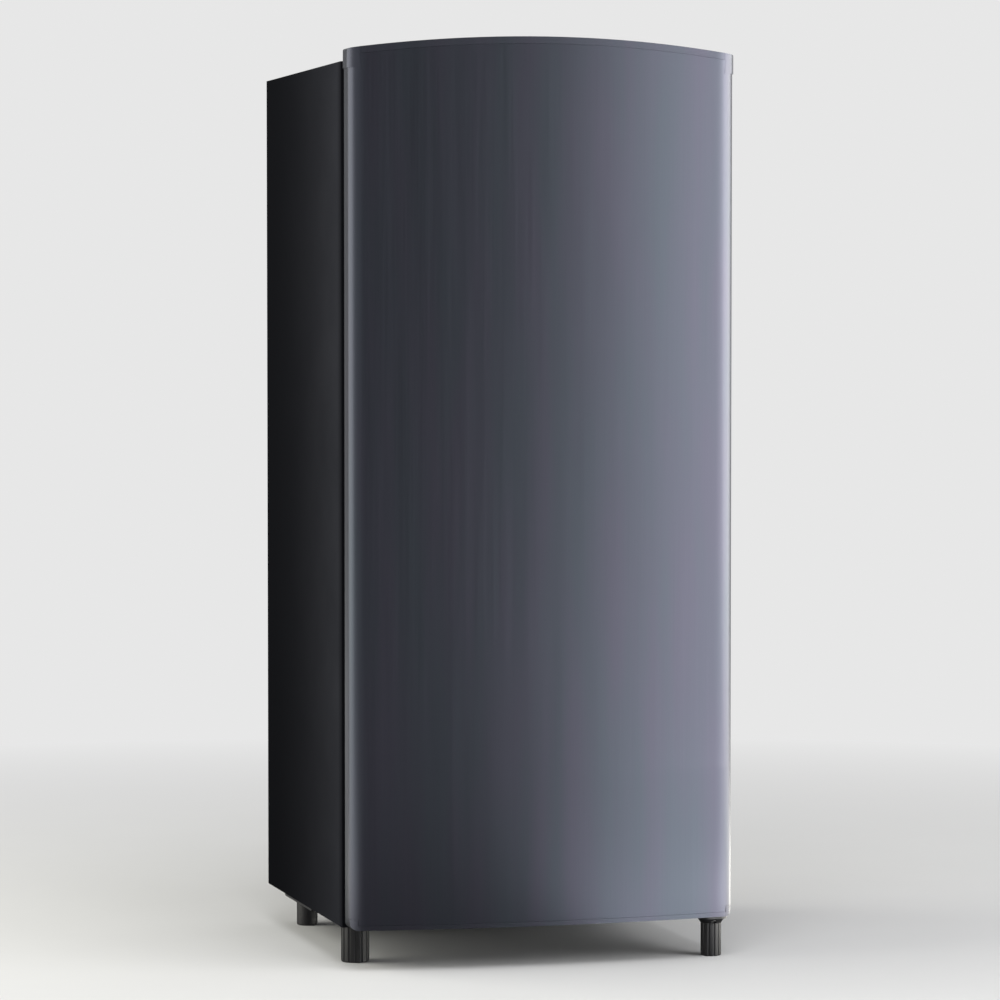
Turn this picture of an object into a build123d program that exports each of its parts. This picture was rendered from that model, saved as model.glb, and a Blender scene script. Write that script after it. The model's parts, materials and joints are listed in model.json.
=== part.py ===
from build123d import *
import math
import os

# Single door refrigerator in millimetres. The door faces -Y, +X is to the right of someone who stands
# in front of it, +Z is up, and the origin is on the floor under the middle of the whole outline.

# Cabinet shell
CABINET_WIDTH = 519.0
CABINET_DEPTH = 448.0
CABINET_HEIGHT = 1121.0
CABINET_CLEARANCE = 54.0
SHEET = 0.8
SHEET_BEND = 1.0
FRONT_FLANGE = 34.0
REAR_FLANGE = 12.0
REAR_PROJECTION = 25.0
RAIL_SHEET = 1.5
RAIL_HEIGHT = 45.0
RAIL_DEPTH = 100.0

# Insulated walls and the liner inside them
SIDE_WALL = 45.0
TOP_WALL = 50.0
REAR_WALL = 45.0
FLOOR_WALL = 55.0
STEP_WALL = 42.0
LINER_SHEET = 2.0
CAVITY_RADIUS = 18.0
CAVITY_CORNER_RADIUS = 12.0

# Compressor compartment
NICHE_DEPTH = 165.0
NICHE_HEIGHT = 195.0

# Door
DOOR_GAP = 9.0
DOOR_EDGE = 38.0
DOOR_BULGE = 22.0
DOOR_FRONT_RADIUS = 16.0
DOOR_REAR_RADIUS = 10.0
DOOR_BOTTOM_STEP = 2.0
DOOR_CORNER_RISE = 14.5
DOOR_CROWN = 17.3
DOOR_RETURN = 14.0
TOP_CAP_STRIP = 9.0
TOP_CAP_EAR = 25.0
TOP_CAP_EAR_PROUD = 1.5
TOP_CAP_CORNER = 5.0
TOP_CAP_PLUG = 40.0
BOTTOM_CAP_STRIP = 6.0
BOTTOM_CAP_EAR = 14.0
BOTTOM_CAP_PLUG = 20.0
BOTTOM_CORNER_RADIUS = 10.0
CAP_WALL = 4.0
CAP_SEAM = 0.3

# Finger recess behind the raised top rim of the door
GRIP_LENGTH = 150.0
GRIP_DEPTH = 26.0
GRIP_DROP = 30.0
GRIP_FROM_FREE_EDGE = 70.0

# Door inside: liner ribs, racks and gasket
RIB_FROM_EDGE = 59.5
RIB_WIDTH = 16.0
RIB_DEPTH = 50.0
RIB_BOTTOM_RISE = 76.0
RIB_TOP_DROP = 217.0
GASKET_INSET = 20.0
GASKET_WIDTH = 12.0
RACK_WALL = 2.2
RACK_LUG = 8.0
RACK_LUG_HEIGHT = 6.0
RACK_SIDE_GAP = 1.0
RACK_RADIUS = 20.0
RACK_EDGE = 2.0
RACK_UPPER_DROP = 284.5
RACK_UPPER_DEPTH = 62.0
RACK_UPPER_HEIGHT = 62.0
RACK_MIDDLE_RISE = 560.0
RACK_MIDDLE_DEPTH = 88.0
RACK_MIDDLE_HEIGHT = 76.0
RACK_BOTTLE_RISE = 90.0
RACK_BOTTLE_DEPTH = 96.0
RACK_BOTTLE_HEIGHT = 105.0

# Hinges on the right hand side
HINGE_INSET = 20.0
HINGE_FORWARD = 25.5
PIN_RADIUS = 4.0
PIN_CLEARANCE = 0.05
HINGE_PLATE = 3.0
HINGE_ARM_HALF_WIDTH = 8.0
HINGE_ARM_ANGLE = 127.0
HINGE_NOTCH_DROP = 4.0
NOTCH_WALL_REACH = 7.0
NOTCH_LEFT = 28.0
NOTCH_RADIUS = 10.0
PIN_HEAD = 2.0
HINGE_FOOT_LEFT = 48.0
HINGE_FOOT_RIGHT = 10.0
HINGE_FOOT_FRONT = 4.0
HINGE_FOOT_DEPTH = 48.0
COVER_MARGIN = 2.6
COVER_WALL = 1.6
COVER_HEIGHT = 10.5
BRACKET_NOSE = 12.0
BUSH_RADIUS = 7.0
BUSH_FLANGE = 8.0
BUSH_LENGTH = 15.0
BRACKET_PLATE = 3.5
BRACKET_TONGUE = 37.6
BRACKET_TAIL = 60.0
COLLAR_HEIGHT = 6.5
COLLAR_FOOT_RADIUS = 13.9
COLLAR_TOP_RADIUS = 18.3

# Feet
LEFT_FOOT_RADIUS = 18.6
LEFT_FOOT_INSET = 32.3
LEFT_FOOT_SETBACK = 61.5
LEFT_FOOT_FLUTES = 14
RIGHT_FOOT_RADIUS = 13.6
RIGHT_FOOT_INSET = 19.2
RIGHT_FOOT_FORWARD = 12.7
RIGHT_FOOT_FLUTES = 12
FLUTE_RADIUS = 2.0
FLUTE_PROUD = 0.7
FOOT_GAP = 0.3
FOOT_EDGE = 2.0
STUD_RADIUS = 4.0
STUD_BOTTOM = 14.0
INSERT_RADIUS = 6.5
INSERT_BOTTOM = 20.0
INSERT_HEIGHT = 14.0
REAR_FOOT_RADIUS = 14.5
REAR_FOOT_INSET = 46.0
REAR_FOOT_FROM_REAR = 43.5

# Shelves and freezer
SHELF_SETBACK = 108.0
SHELF_GLASS = 4.0
SHELF_SIDE_GAP = 2.5
SHELF_UPPER_DROP = 44.0
SHELF_LOWER_RISE = 213.0
SHELF_CORNER = 15.0
SHELF_BACK_GAP = 4.0
TRIM_DEPTH = 16.0
TRIM_LIP = 4.0
TRIM_EDGE = 1.5
LEDGE_WIDTH = 10.5
LEDGE_HEIGHT = 7.0
EVAPORATOR_SHEET = 1.6
EVAPORATOR_SIDE_GAP = 19.5
EVAPORATOR_HEIGHT = 135.0
EVAPORATOR_SETBACK = 122.0
EVAPORATOR_RADIUS = 10.0
EVAPORATOR_DROP = 10.0
EVAPORATOR_BACK_GAP = 12.0
HANGER_WIDTH = 16.0
HANGER_LENGTH = 30.0
HANGER_INSET = 55.0
STUB_LENGTH = 30.0
FREEZER_FRAME_SIDE_GAP = 8.5
FREEZER_FRAME_DEPTH = 14.0
FREEZER_OPENING_INSET = 7.0
FREEZER_SLOT = 3.0
FLAP_THICKNESS = 8.0
FLAP_GAP = 1.0
FLAP_PIN_RADIUS = 2.5
FLAP_PIN_DROP = 8.0
FLAP_PIN_LENGTH = 6.0
FLAP_SCOOP_RISE = 16.0
FLAP_SCOOP_HALF = 60.0
FLAP_SCOOP_RADIUS = 7.0
TRAY_SIDE_GAP = 24.5
TRAY_HEIGHT = 46.0
TRAY_WALL = 2.0
TRAY_DROP = 10.0
TRAY_RIM = 14.0
TRAY_RADIUS = 8.0
TRAY_BACK_GAP = 24.0
CRISPER_SIDE_GAP = 14.0
CRISPER_HEIGHT = 168.0
CRISPER_WALL = 2.5
CRISPER_BACK_GAP = 8.0
CRISPER_RADIUS = 12.0
CRISPER_SCOOP = 20.0
CRISPER_SCOOP_HALF = 45.0
SLIDE_GAP = 0.3

# Controls on the right hand wall
CONTROL_DEPTH = 32.0
CONTROL_LENGTH = 130.0
CONTROL_HEIGHT = 96.0
CONTROL_DROP = 44.0
CONTROL_WALL = 2.5
CONTROL_EDGE = 2.0
CONTROL_SETBACK = 24.0
LAMP_WINDOW_HALF = 26.0
LAMP_COVER_LIP = 4.0
LAMP_COVER_SHEET = 2.0
LAMP_FROM_FRONT = 36.0
BULB_RADIUS = 11.0
SOCKET_RADIUS = 8.0
THERMOSTAT_HALF = 18.0
KNOB_RADIUS = 20.0
KNOB_HEIGHT = 13.0
KNOB_EDGE = 1.5
KNOB_FLUTES = 18
KNOB_SKIRT = 3.0
KNOB_POINTER = 1.2
KNOB_FROM_REAR = 30.0
KNOB_SHAFT_LENGTH = 14.0
KNOB_SHAFT_RADIUS = 3.0
SHAFT_CLEARANCE = 0.06
SWITCH_RADIUS = 3.0
SWITCH_RISE = 850.0
SWITCH_LENGTH = 24.0

# Compressor
COMPRESSOR_HALF_LENGTH = 92.0
COMPRESSOR_HALF_WIDTH = 73.0
COMPRESSOR_HEIGHT = 150.0
COMPRESSOR_WALL = 3.0
COMPRESSOR_FROM_SIDE = 214.5
COMPRESSOR_RADIUS = 30.0
COMPRESSOR_FOOT_SPACING_X = 170.0
COMPRESSOR_FOOT_SPACING_Y = 100.0
GROMMET_RADIUS = 10.0
GROMMET_HEIGHT = 12.0
GROMMET_LIP = 3.2
FOOT_PLATE_EDGE = 13.0
PEG_RADIUS = 5.0
PEG_HEIGHT = 24.0
PEG_SPREAD_X = 30.0
PEG_SPREAD_Y = 22.0
MOTOR_HALF = 42.0
MOTOR_HEIGHT = 52.0
PUMP_RADIUS = 26.0
BOLT_WASHER = 1.5
WASHER_RADIUS = 9.0
BOLT_THREAD = 9.0
BOLT_HEAD = 3.0
NUT_RADIUS = 6.0
NUT_SIDES = 6
BOLT_RADIUS = 3.0
CARRIER_HEIGHT = 36.0
CARRIER_SHEET = 2.0
CARRIER_INSET = 24.0
CARRIER_FLANGE_INSET = 8.0
CARRIER_SCREW_MARGIN = 24.0

# Condenser and pipes
CONDENSER_TUBE_RADIUS = 2.4
CONDENSER_PITCH = 52.0
CONDENSER_RUNS = 15
CONDENSER_END_INSET = 63.5
CONDENSER_TOP_DROP = 70.0
CONDENSER_WIRE_RADIUS = 0.75
CONDENSER_WIRE_PITCH = 15.0
CONDENSER_WIRE_INSET = 79.5
WIRE_GAP = 0.05
PIPE_RADIUS = 3.0
PIPE_BEND = 14.0
DRIER_RADIUS = 9.0
DRIER_LENGTH = 90.0
CAPILLARY_RADIUS = 1.2
CAPILLARY_REACH = 26.0
STUB_PROUD = 10.0
STUB_RADIUS = 4.0
RISER_FROM_EDGE = 22.0
SUCTION_REACH = 28.5
SUCTION_STUB_RISE = 95.0
SUCTION_STUB_SHIFT = 15.0
DISCHARGE_STUB_RISE = 60.0
DISCHARGE_STUB_SHIFT = -20.0
DRIER_FROM_REAR = 40.0
DRIER_DROP = 84.0
BRACKET_HALF = 8.0
GLAND_BORE = 3.8
GLAND_BODY = 6.5
GLAND_RADIUS = 9.0
GLAND_LENGTH = 14.0
GLAND_CHAMFER = 1.5
GLAND_FROM_END = 11.0
RELAY_LENGTH = 34.0
RELAY_WIDTH = 56.0
RELAY_HEIGHT = 60.0
RELAY_RISE = 40.0
RELAY_WALL = 2.5
RELAY_LAP = 12.0
WATER_TRAY_HALF_LENGTH = 84.0
WATER_TRAY_HALF_WIDTH = 58.0
WATER_TRAY_HEIGHT = 22.0
DRAIN_RADIUS = 7.0
DRAIN_WALL = 1.5
DRAIN_DROP = 24.0
DRAIN_FROM_REAR = 30.0

# Fasteners
SCREW_RADIUS = 2.0
SCREW_HEAD_RADIUS = 4.0
SCREW_HEAD = 2.0
SCREW_LENGTH = 10.0
SCREW_SLOT = 1.0
SCREW_MARGIN = 8.0
REAR_SCREWS = 5
REAR_SCREW_MARGIN = 40.0
WELD_NUT = 6.0
SIDE_RAIL_WIDTH = 45.0
SIDE_RAIL_HEIGHT = 30.0

# Fits, and how far a cutting shape runs past what it cuts
FIT = 0.1
SEAM = 0.2
SWITCH_CLEARANCE = 0.1
SOFT_GAP = 0.3
CUT = 1.0
TOUCH = 0.01

# Places worked out from the sizes above
HALF_WIDTH = CABINET_WIDTH / 2
Z_BOTTOM = CABINET_CLEARANCE
Z_TOP = CABINET_CLEARANCE + CABINET_HEIGHT
OVERALL_DEPTH = DOOR_BULGE + DOOR_EDGE + DOOR_GAP + CABINET_DEPTH + REAR_PROJECTION
Y_FRONT = -OVERALL_DEPTH / 2 + DOOR_BULGE + DOOR_EDGE + DOOR_GAP
Y_REAR = Y_FRONT + CABINET_DEPTH
FOAM_REAR = Y_REAR - 3 * SHEET - FIT
NICHE_FRONT = Y_REAR - NICHE_DEPTH
NICHE_TOP = Z_BOTTOM + NICHE_HEIGHT
CAVITY_HALF = HALF_WIDTH - SIDE_WALL
CAVITY_FLOOR = Z_BOTTOM + FLOOR_WALL
CAVITY_CEILING = Z_TOP - TOP_WALL
CAVITY_REAR = Y_REAR - REAR_WALL
STEP_FRONT = NICHE_FRONT - STEP_WALL
STEP_TOP = NICHE_TOP + STEP_WALL
DOOR_REAR = Y_FRONT - DOOR_GAP
DOOR_FRONT_EDGE = DOOR_REAR - DOOR_EDGE
DOOR_BOTTOM = Z_BOTTOM + DOOR_BOTTOM_STEP
DOOR_CORNER = Z_TOP + DOOR_CORNER_RISE
DOOR_TOP = DOOR_CORNER + DOOR_CROWN
HINGE_X = HALF_WIDTH - HINGE_INSET
HINGE_Y = Y_FRONT - HINGE_FORWARD
SHELF_FRONT = Y_FRONT + SHELF_SETBACK
SHELF_HALF = CAVITY_HALF - SHELF_SIDE_GAP
CRISPER_COVER = STEP_TOP + CAVITY_CORNER_RADIUS
SHELF_LOWER = CRISPER_COVER + SHELF_LOWER_RISE
EVAPORATOR_HALF_WIDTH = CAVITY_HALF - EVAPORATOR_SIDE_GAP
FREEZER_FRAME_HALF_WIDTH = CAVITY_HALF - FREEZER_FRAME_SIDE_GAP
TRAY_HALF_WIDTH = CAVITY_HALF - TRAY_SIDE_GAP
HANGER_SPREAD = EVAPORATOR_HALF_WIDTH - HANGER_INSET
EVAPORATOR_FRONT = Y_FRONT + EVAPORATOR_SETBACK
EVAPORATOR_TOP = CAVITY_CEILING - EVAPORATOR_DROP
EVAPORATOR_BOTTOM = EVAPORATOR_TOP - EVAPORATOR_HEIGHT
TRAY_TOP = EVAPORATOR_BOTTOM - TRAY_DROP
TRAY_BOTTOM = TRAY_TOP - TRAY_HEIGHT
COMPRESSOR_X = HALF_WIDTH - COMPRESSOR_FROM_SIDE
COMPRESSOR_Y = Y_REAR - NICHE_DEPTH / 2
CARRIER_TOP = CARRIER_HEIGHT + CARRIER_SHEET
COMPRESSOR_BASE = CARRIER_TOP + GROMMET_HEIGHT
CONDENSER_Y = Y_REAR + REAR_PROJECTION - 2 * CONDENSER_WIRE_RADIUS - WIRE_GAP - CONDENSER_TUBE_RADIUS
CONDENSER_HALF_RUN = HALF_WIDTH - CONDENSER_END_INSET
CONDENSER_WIRE_HALF_SPAN = HALF_WIDTH - CONDENSER_WIRE_INSET
CONDENSER_TOP = Z_TOP - CONDENSER_TOP_DROP
CONDENSER_BOTTOM = CONDENSER_TOP - (CONDENSER_RUNS - 1) * CONDENSER_PITCH
EVAPORATOR_REAR = CAVITY_REAR - EVAPORATOR_BACK_GAP
SUCTION_Z = EVAPORATOR_TOP - EVAPORATOR_SHEET - PIPE_RADIUS + SEAM
SUCTION_STUB_Y = COMPRESSOR_Y + SUCTION_STUB_SHIFT
SUCTION_STUB_Z = COMPRESSOR_BASE + SUCTION_STUB_RISE
DISCHARGE_STUB_Y = COMPRESSOR_Y + DISCHARGE_STUB_SHIFT
DISCHARGE_STUB_Z = COMPRESSOR_BASE + DISCHARGE_STUB_RISE
STUB_END = COMPRESSOR_X + COMPRESSOR_HALF_LENGTH + STUB_PROUD
SUCTION_X = STUB_END + SUCTION_REACH
RISER_X = HALF_WIDTH - RISER_FROM_EDGE
DRIER_Y = Y_REAR - DRIER_FROM_REAR
DRIER_TOP = NICHE_TOP - DRIER_DROP
DRAIN_X = COMPRESSOR_X - COMPRESSOR_HALF_WIDTH + DRAIN_RADIUS
DRAIN_Y = CAVITY_REAR - DRAIN_FROM_REAR
RELAY_REAR = COMPRESSOR_Y + RELAY_WIDTH / 2
RELAY_BOTTOM = COMPRESSOR_BASE + RELAY_RISE
RELAY_LEFT = COMPRESSOR_X - COMPRESSOR_HALF_LENGTH - RELAY_LENGTH + RELAY_LAP
GLAND_X = RELAY_LEFT + GLAND_FROM_END
GLAND_Z = RELAY_BOTTOM + RELAY_HEIGHT / 2
FLAP_Y = EVAPORATOR_FRONT - FREEZER_FRAME_DEPTH / 2
FLAP_LOW = EVAPORATOR_BOTTOM + EVAPORATOR_SHEET + FLAP_GAP
FLAP_HIGH = EVAPORATOR_TOP - EVAPORATOR_SHEET - FLAP_GAP
FLAP_PIN_Z = FLAP_HIGH - FLAP_PIN_DROP
TRAY_FRONT = EVAPORATOR_FRONT - TRAY_WALL
CONTROL_FACE = CAVITY_HALF - CONTROL_DEPTH
CONTROL_FRONT = SHELF_FRONT + CONTROL_SETBACK
CONTROL_BOTTOM = TRAY_BOTTOM - CONTROL_DROP - CONTROL_HEIGHT
SHELF_UPPER = CONTROL_BOTTOM - SHELF_UPPER_DROP
CONTROL_MIDDLE = CONTROL_BOTTOM + CONTROL_HEIGHT / 2
LAMP_Y = CONTROL_FRONT + LAMP_FROM_FRONT
KNOB_Y = CONTROL_FRONT + CONTROL_LENGTH - KNOB_FROM_REAR
SHAFT_END = CONTROL_FACE + KNOB_SHAFT_LENGTH
SWITCH_X = -(HALF_WIDTH - (FRONT_FLANGE + SIDE_WALL) / 2)
SWITCH_Z = Z_BOTTOM + SWITCH_RISE
SWITCH_END = Y_FRONT + SWITCH_LENGTH
LEFT_FOOT_X = -(HALF_WIDTH - LEFT_FOOT_INSET)
LEFT_FOOT_Y = Y_FRONT + LEFT_FOOT_SETBACK
RIGHT_FOOT_X = HALF_WIDTH - RIGHT_FOOT_INSET
RIGHT_FOOT_Y = Y_FRONT - RIGHT_FOOT_FORWARD
CAP_PLUG_LOW = DOOR_CORNER - TOP_CAP_PLUG
NOTCH_FLOOR = Z_TOP - HINGE_NOTCH_DROP
GRIP_FLOOR = DOOR_TOP - GRIP_DROP
RIB_HALF_SPAN = HALF_WIDTH - RIB_FROM_EDGE
RIB_LOW = DOOR_BOTTOM + RIB_BOTTOM_RISE
RIB_HIGH = DOOR_CORNER - RIB_TOP_DROP
RACK_UPPER_LEVEL = DOOR_CORNER - RACK_UPPER_DROP
RACK_MIDDLE_LEVEL = DOOR_BOTTOM + RACK_MIDDLE_RISE
RACK_BOTTLE_LEVEL = DOOR_BOTTOM + RACK_BOTTLE_RISE


def block(x, y, z):
    """A box between a low and a high limit on each axis."""
    limits = (x, y, z)
    size = [high - low for low, high in limits]
    middle = [(low + high) / 2 for low, high in limits]
    return Pos(*middle) * Box(*size)


def span(half):
    """Limits either side of the middle plane."""
    return (-half, half)


def post(x, y, z, radius):
    """An upright cylinder between two heights."""
    low, high = z
    return Pos(x, y, (low + high) / 2) * Cylinder(radius, high - low)


def bar_x(x, y, z, radius):
    """A cylinder along X between two limits."""
    low, high = x
    return Pos((low + high) / 2, y, z) * Rot(0, 90, 0) * Cylinder(radius, high - low)


def bar_y(x, y, z, radius):
    """A cylinder along Y between two limits."""
    low, high = y
    return Pos(x, (low + high) / 2, z) * Rot(90, 0, 0) * Cylinder(radius, high - low)


def both_sides(shape):
    """A right hand piece and its mirror image as one node of two solids."""
    return Compound(children=[shape, mirror(shape, about=Plane.YZ)])


def pipe(points, radius, bend):
    """A round pipe along straight runs joined by tangent arcs."""
    path = FilletPolyline(*points, radius=bend)
    section = Plane(origin=path @ 0, z_dir=path % 0) * Circle(radius)
    return sweep(section, path=path)


# Cabinet shell

def side_panel():
    """Right hand side sheet with its front and rear flanges turned inwards."""
    sheet = block((HALF_WIDTH - FRONT_FLANGE, HALF_WIDTH), (Y_FRONT, Y_REAR), (Z_BOTTOM, Z_TOP))
    sheet = fillet(sheet.edges().filter_by(Axis.Z).group_by(Axis.X)[-1], SHEET_BEND)
    inside = block(
        (HALF_WIDTH - 2 * FRONT_FLANGE, HALF_WIDTH - SHEET),
        (Y_FRONT + SHEET, Y_REAR - SHEET),
        (Z_BOTTOM, Z_TOP),
    )
    inside = fillet(inside.edges().filter_by(Axis.Z).group_by(Axis.X)[-1], SHEET_BEND - SHEET)
    rear_opening = block(
        (HALF_WIDTH - 2 * FRONT_FLANGE, HALF_WIDTH - REAR_FLANGE),
        (Y_REAR - 2 * SHEET, Y_REAR + SHEET),
        (Z_BOTTOM, Z_TOP),
    )
    top_seat = block(
        (HALF_WIDTH - 2 * FRONT_FLANGE, HALF_WIDTH - SHEET),
        (Y_FRONT - SHEET, Y_REAR + SHEET),
        (Z_TOP - SHEET - SEAM, Z_TOP + SHEET),
    )
    return sheet - inside - rear_opening - top_seat - rear_screw_holes()


def top_panel():
    """Top sheet with its front and rear flanges turned down between those of the side panels."""
    plate = block(span(HALF_WIDTH - SHEET - SEAM), (Y_FRONT, Y_REAR), (Z_TOP - SHEET, Z_TOP))
    front = block(
        span(HALF_WIDTH - FRONT_FLANGE - SEAM), (Y_FRONT, Y_FRONT + SHEET), (Z_TOP - FRONT_FLANGE, Z_TOP)
    )
    rear = block(
        span(HALF_WIDTH - REAR_FLANGE - SEAM), (Y_REAR - SHEET, Y_REAR), (Z_TOP - REAR_FLANGE, Z_TOP)
    )
    hole = (Z_TOP - 2 * SHEET, Z_TOP + SHEET)
    holes = [post(x, y, hole, SCREW_RADIUS + FIT) for x, y in top_hinge_screws()]
    return plate + front + rear - holes


def back_panel():
    """Back sheet, lapped inside the rear flanges, above the compressor compartment."""
    sheet = block(
        span(HALF_WIDTH - SHEET - SEAM),
        (Y_REAR - 2 * SHEET, Y_REAR - SHEET),
        (NICHE_TOP, Z_TOP - SHEET - SEAM),
    )
    return sheet - rear_screw_holes()


def base_panel():
    """Bottom sheet, folded up and back to line the compressor compartment."""
    width = span(HALF_WIDTH - SHEET - SEAM)
    sheet = block(width, (Y_FRONT + SHEET + RAIL_DEPTH + SEAM, NICHE_FRONT), (Z_BOTTOM, Z_BOTTOM + SHEET))
    sheet += block(width, (NICHE_FRONT - SHEET, NICHE_FRONT), (Z_BOTTOM, NICHE_TOP + SHEET))
    sheet += block(width, (NICHE_FRONT - SHEET, Y_REAR - 2 * SHEET), (NICHE_TOP, NICHE_TOP + SHEET))
    back_lap = block(
        width,
        (Y_REAR - 3 * SHEET, Y_REAR - 2 * SHEET),
        (NICHE_TOP, NICHE_TOP + REAR_FLANGE),
    )
    back_seat = block(span(CABINET_WIDTH), (Y_REAR - 2 * SHEET, Y_REAR), (NICHE_TOP, NICHE_TOP + REAR_FLANGE))
    return sheet + back_lap - back_seat - drain_path(FIT) - suction_path(FIT)


def front_rail():
    """Pressed front rail that the gasket, the lower hinge and the left foot's stud are fixed to."""
    top = Z_BOTTOM + RAIL_SHEET
    floor = block(
        span(HALF_WIDTH - SHEET - SEAM),
        (Y_FRONT + SHEET + SEAM, Y_FRONT + SHEET + RAIL_DEPTH),
        (Z_BOTTOM, top),
    )
    face = block(
        span(HALF_WIDTH - FRONT_FLANGE - SEAM),
        (Y_FRONT, Y_FRONT + RAIL_SHEET),
        (Z_BOTTOM, Z_BOTTOM + RAIL_HEIGHT),
    )
    stud = post(LEFT_FOOT_X, LEFT_FOOT_Y, (STUD_BOTTOM, top), STUD_RADIUS)
    weld_nut = post(LEFT_FOOT_X, LEFT_FOOT_Y, (top, top + WELD_NUT), 2 * STUD_RADIUS)
    holes = [post(x, y, (Z_BOTTOM - SHEET, top + SHEET), SCREW_RADIUS + FIT) for x, y in lower_hinge_screws()]
    return floor + face + stud + weld_nut - holes


def side_rails():
    """Angle rails along both sides of the compressor compartment."""
    outer = HALF_WIDTH - SHEET - SEAM
    length = (NICHE_FRONT + SEAM, Y_REAR - SHEET - SEAM)
    foot = block((outer - SIDE_RAIL_WIDTH, outer), length, (Z_BOTTOM, Z_BOTTOM + CARRIER_SHEET))
    web = block((outer - CARRIER_SHEET, outer), length, (Z_BOTTOM, Z_BOTTOM + SIDE_RAIL_HEIGHT))
    holes = [post(x, y, (0, Z_TOP), SCREW_RADIUS + FIT) for x, y in carrier_screws()]
    return both_sides(foot + web - holes)


def cavity(grow, front):
    """The food compartment as a solid, grown outwards by a wall, from its mouth to the back."""
    outline = Polyline(
        (front, CAVITY_FLOOR - grow),
        (STEP_FRONT + grow, CAVITY_FLOOR - grow),
        (STEP_FRONT + grow, STEP_TOP - grow),
        (CAVITY_REAR + grow, STEP_TOP - grow),
        (CAVITY_REAR + grow, CAVITY_CEILING + grow),
        (front, CAVITY_CEILING + grow),
        close=True,
    )
    face = make_face(outline)
    inner_corners = face.vertices().filter_by(lambda v: v.X > front + CUT)
    convex = inner_corners.filter_by(lambda v: abs(v.Y - STEP_TOP + grow) > CUT or v.X > CAVITY_REAR - CUT)
    concave = inner_corners.filter_by(lambda v: abs(v.Y - STEP_TOP + grow) < CUT and v.X < CAVITY_REAR - CUT)
    face = fillet(convex, CAVITY_RADIUS + grow)
    face = fillet(face.vertices().sort_by_distance(concave[0])[0], CAVITY_RADIUS - grow)
    solid = extrude(Plane.YZ * face, CAVITY_HALF + grow, both=True)
    rim = [edge for edge in solid.edges() if abs(abs(edge.center().X) - CAVITY_HALF - grow) < TOUCH]
    rim = [edge for edge in rim if edge.center().Y > front + TOUCH]
    return fillet(rim, CAVITY_CORNER_RADIUS + grow)


def cabinet_foam():
    """Foam that fills the walls between the steel shell and the liner."""
    rail_top = Z_BOTTOM + RAIL_SHEET
    foam = block(
        span(HALF_WIDTH - SHEET - FIT),
        (Y_FRONT + RAIL_SHEET + FIT, FOAM_REAR),
        (rail_top + FIT, Z_TOP - SHEET - FIT),
    )
    foam -= block(
        span(CABINET_WIDTH),
        (NICHE_FRONT - SHEET - FIT, Y_REAR + SHEET),
        (0, NICHE_TOP + SHEET + FIT),
    )
    foam -= cavity(LINER_SHEET + FIT, Y_FRONT)
    foam -= post(LEFT_FOOT_X, LEFT_FOOT_Y, (rail_top, rail_top + WELD_NUT + FIT), 2 * STUD_RADIUS + FIT)
    low = (Z_BOTTOM, rail_top + SCREW_LENGTH)
    high = (Z_TOP - SCREW_LENGTH - SHEET, Z_TOP)
    pockets = [post(x, y, low, SCREW_RADIUS + FIT) for x, y in lower_hinge_screws()]
    pockets += [post(x, y, high, SCREW_RADIUS + FIT) for x, y in top_hinge_screws()]
    pockets += [switch_barrel(FIT), drain_path(FIT), suction_path(FIT)]
    return foam - pockets - rear_screw_holes()


def inner_liner():
    """White liner with its front lip, side ledges and the bezel of the door switch."""
    shell = cavity(LINER_SHEET, Y_FRONT) - cavity(0, Y_FRONT - DOOR_GAP)
    lip_top = Z_TOP - FRONT_FLANGE - SEAM
    lip_bottom = Z_BOTTOM + RAIL_HEIGHT + SEAM
    lip = block(
        span(HALF_WIDTH - FRONT_FLANGE - SEAM), (Y_FRONT, Y_FRONT + RAIL_SHEET), (lip_bottom, lip_top)
    )
    lip -= cavity(0, Y_FRONT - DOOR_GAP)
    ledges = []
    for level in (SHELF_UPPER, SHELF_LOWER, CRISPER_COVER):
        ledges.append(
            block(
                (CAVITY_HALF - LEDGE_WIDTH, CAVITY_HALF + LINER_SHEET / 2),
                (SHELF_FRONT + TRIM_DEPTH, CAVITY_REAR - 2 * CAVITY_RADIUS),
                (level - LEDGE_HEIGHT, level),
            )
        )
    ledges.append(
        block(
            (TRAY_HALF_WIDTH + SHELF_SIDE_GAP, CAVITY_HALF + LINER_SHEET / 2),
            (EVAPORATOR_FRONT, CAVITY_REAR - 2 * CAVITY_RADIUS),
            (TRAY_TOP - TRAY_WALL - SLIDE_GAP - LEDGE_HEIGHT, TRAY_TOP - TRAY_WALL - SLIDE_GAP),
        )
    )
    room = cavity(LINER_SHEET / 2, Y_FRONT)
    for ledge in ledges:
        ledge = ledge & room
        shell += [ledge, mirror(ledge, about=Plane.YZ)]
    liner = shell + lip - switch_barrel(SWITCH_CLEARANCE)
    return liner - drain_path(FIT) - suction_path(FIT)


# Freezer, shelves and drawers

def evaporator():
    """Aluminium freezer box, open at the front and the back, with the stub of the suction line."""
    length = (EVAPORATOR_FRONT, EVAPORATOR_REAR)
    outer = block(span(EVAPORATOR_HALF_WIDTH), length, (EVAPORATOR_BOTTOM, EVAPORATOR_TOP))
    outer = fillet(outer.edges().filter_by(Axis.Y), EVAPORATOR_RADIUS)
    inner = block(
        span(EVAPORATOR_HALF_WIDTH - EVAPORATOR_SHEET),
        length,
        (EVAPORATOR_BOTTOM + EVAPORATOR_SHEET, EVAPORATOR_TOP - EVAPORATOR_SHEET),
    )
    inner = fillet(inner.edges().filter_by(Axis.Y), EVAPORATOR_RADIUS - EVAPORATOR_SHEET)
    stub = bar_y(SUCTION_X, (EVAPORATOR_REAR - STUB_LENGTH, EVAPORATOR_REAR), SUCTION_Z, PIPE_RADIUS)
    return outer - inner + stub


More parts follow.
